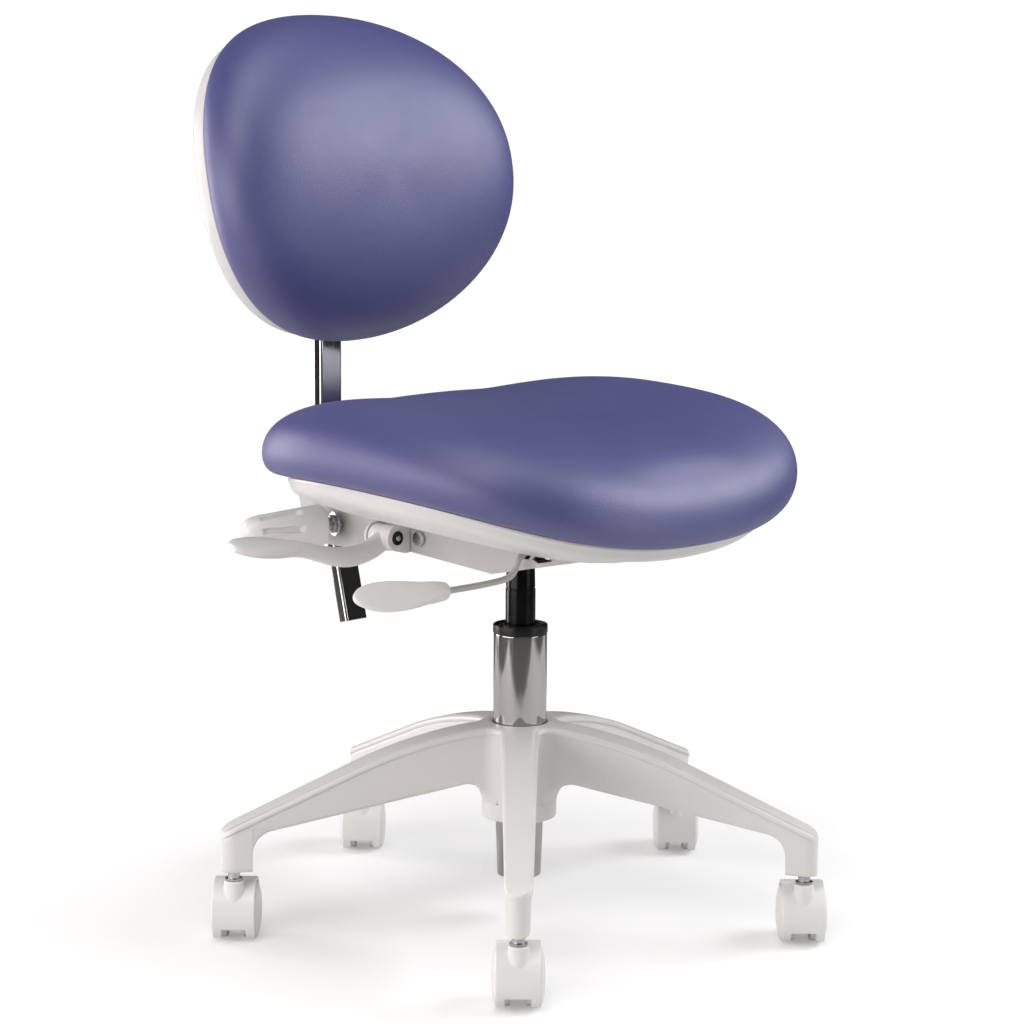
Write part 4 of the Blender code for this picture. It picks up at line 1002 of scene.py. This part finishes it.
def bar_section(half_x, half_y, corner):
    made = []
    for sx, sy, start in ((1, 1, 0), (-1, 1, 90), (-1, -1, 180), (1, -1, 270)):
        centre = (sx * (half_x - corner), sy * (half_y - corner))
        made += arc(centre, corner, start, start + 90, 7)
    return made


def back_bar():
    lean = math.tan(BAR_LEAN)
    bend, chamfer, edge_r = 0.0075, 0.0006, 0.0026
    upright = BAR_Y + (BAR_BEND - BAR_Z) * lean
    low = Vector((0, BAR_Y + (BAR_BEND - bend - BAR_Z) * lean, BAR_BEND - bend))
    corner, high = Vector((0, upright, BAR_BEND)), Vector((0, upright, BAR_BEND + bend))
    turn = []
    for i in range(11):
        t = i / 10
        turn.append((1 - t) ** 2 * low + 2 * t * (1 - t) * corner + t * t * high)
    foot = Vector((0, BAR_Y + (BAR_LOW - BAR_Z) * lean, BAR_LOW))
    ahead = (low - foot).normalized()
    path = [foot, foot + ahead * chamfer, *turn]
    path += [Vector((0, upright, BAR_TOP - chamfer)), Vector((0, upright, BAR_TOP))]
    last = len(path) - 1

    def section(i):
        trim = chamfer if i in (0, last) else 0
        return bar_section(BAR_WIDTH / 2 - trim, BAR_DEPTH / 2 - trim, edge_r - trim)

    bar = swept(path, section, Vector((1, 0, 0)))
    piece("bent_bar", bar, "chrome", "backrest", stands_for=["back_bar"], smooth=50)


def back_level(x, z):
    return BACK_WRAP * x * x + BACK_LUMBAR * z * z


def back_rings(steps, sides=112):
    """Rings at (scale of the outline, height in front of the curve), in the leaning back frame."""
    outline = oval(BACK_HALF_WIDTH, BACK_HALF_HEIGHT, BACK_SQUARENESS, sides)
    rings = []
    for scale, height in steps:
        if scale == 0:
            rings.append([Vector((0, -height, 0))])
            continue
        flat = [(x * scale, z * scale) for x, z in outline]
        rings.append([Vector((x, -(back_level(x, z) + height), z)) for x, z in flat])
    return rings


def backrest():
    rim, deep, wall = -BACK_REAR - 0.0008, -0.0400, 0.003
    outside = fine([(0, deep), (0.45, deep), (0.78, deep + 0.0006)], 4)
    outside += [(0.84, deep + 0.0014), (0.89, deep + 0.0030), (0.915, deep + 0.0050)]
    outside += [(0.935, deep + 0.0080), (0.945, deep + 0.0108), (0.950, deep + 0.0140)]
    outside += [(0.950, rim - 0.0008), (0.948, rim)]
    inside = [(0.930, rim), (0.932, deep + 0.0145), (0.915, deep + 0.0095), (0.875, deep + 0.0055)]
    inside += fine([(0.77, deep + wall), (0.45, deep + wall), (0, deep + wall)], 4)
    shell = skin(back_rings(outside + inside))
    slot_half, slot_front, slot_top = 0.0165, 0.2575, 0.7125
    slot = box((-slot_half, slot_front, 0.45), (slot_half, 0.34, slot_top))
    cut = moved(slot, BACK_FRAME.inverted() @ TO_COLUMN)
    piece("back_tray", solid(shell, cut), "white", "backrest", BACK_FRAME, ["back_shell"], smooth=40)
    steps = [(scale, -BACK_REAR) for scale in (0, 0.4, 0.86, 0.925)]
    steps += [(0.950, -BACK_REAR + 0.0004), (0.966, -BACK_REAR * 0.84)]
    steps += [(0.980, -BACK_REAR * 0.62), (0.992, -BACK_REAR * 0.34)]
    steps += crown(0, BACK_CROWN, 14)
    pad = back_rings(steps)
    cushion("back_pad", pad, "back_cushion", "backrest", BACK_FRAME, 0.0050, Vector((0, -1, 0)))


def small_parts():
    """Sheet metal, clamps and fasteners keep the frame's shapes, with their edges broken."""
    from_frame("mechanism_channel", "paint", 0.0009, "under_channel")
    from_frame("back_bracket", "paint", 0.0009, "tilt_bracket")
    from_frame("lever_clevis", "lever", 0.0009, "clevis_ears")
    from_frame("bar_guide", "black", 0.0005, "guide_block")
    from_frame("clamp_block", "steel", 0.0006, "wedge_block")
    from_frame("back_mount", "steel", 0.0006, "bar_mount")
    for i in range(1, 5):
        from_frame(f"seat_bolt_{i}", "steel", 0.0005, f"tray_bolt_{i}")
    from_frame("back_pivot_pin", "steel", 0.0006, "bracket_pin")
    pivot = along(CLEVIS_PIN, Vector((0, -1, 0)))
    front = CLEVIS_HALF
    head = [(0.0030, front - 0.003), (0.0066, front - 0.003), (0.0066, front + 0.0010)]
    head += [(0.0060, front + 0.0014), (0.0048, front + 0.0012), (0.0040, front + 0.0002)]
    head.append((0.0030, front))
    pin = [(0, -front - 0.003), (0.0040, -front - 0.003), (0.0040, front - 0.0035)]
    pin += [(0.0030, front - 0.003), (0.0030, front + 0.0008), (0.0024, front + 0.0020)]
    pin += [(0.0012, front + 0.0026), (0, front + 0.0028)]
    piece("clevis_pin", turned(pin, 40, False), "steel", "seat", pivot, ["clevis_bolt"])
    piece("clevis_grommet", turned(head, 48), "black", "seat", pivot)
    for node, finish in (
        ("taper_socket", "steel"),
        ("thrust_bearing", "steel"),
        ("rod_clip", "steel"),
        ("piston_rod", "steel"),
        ("rod_guide", "black"),
        ("release_pin", "steel"),
        ("seat_board", "wood"),
        ("back_board", "wood"),
    ):
        dress(node, finish)


FINISHES = make_finishes()
studio = set_camera()
set_light(studio)
lay_floor(studio)
star_base()
casters()
gas_column()
seat()
height_lever()
angle_lever()
height_knob()
back_bar()
backrest()
small_parts()
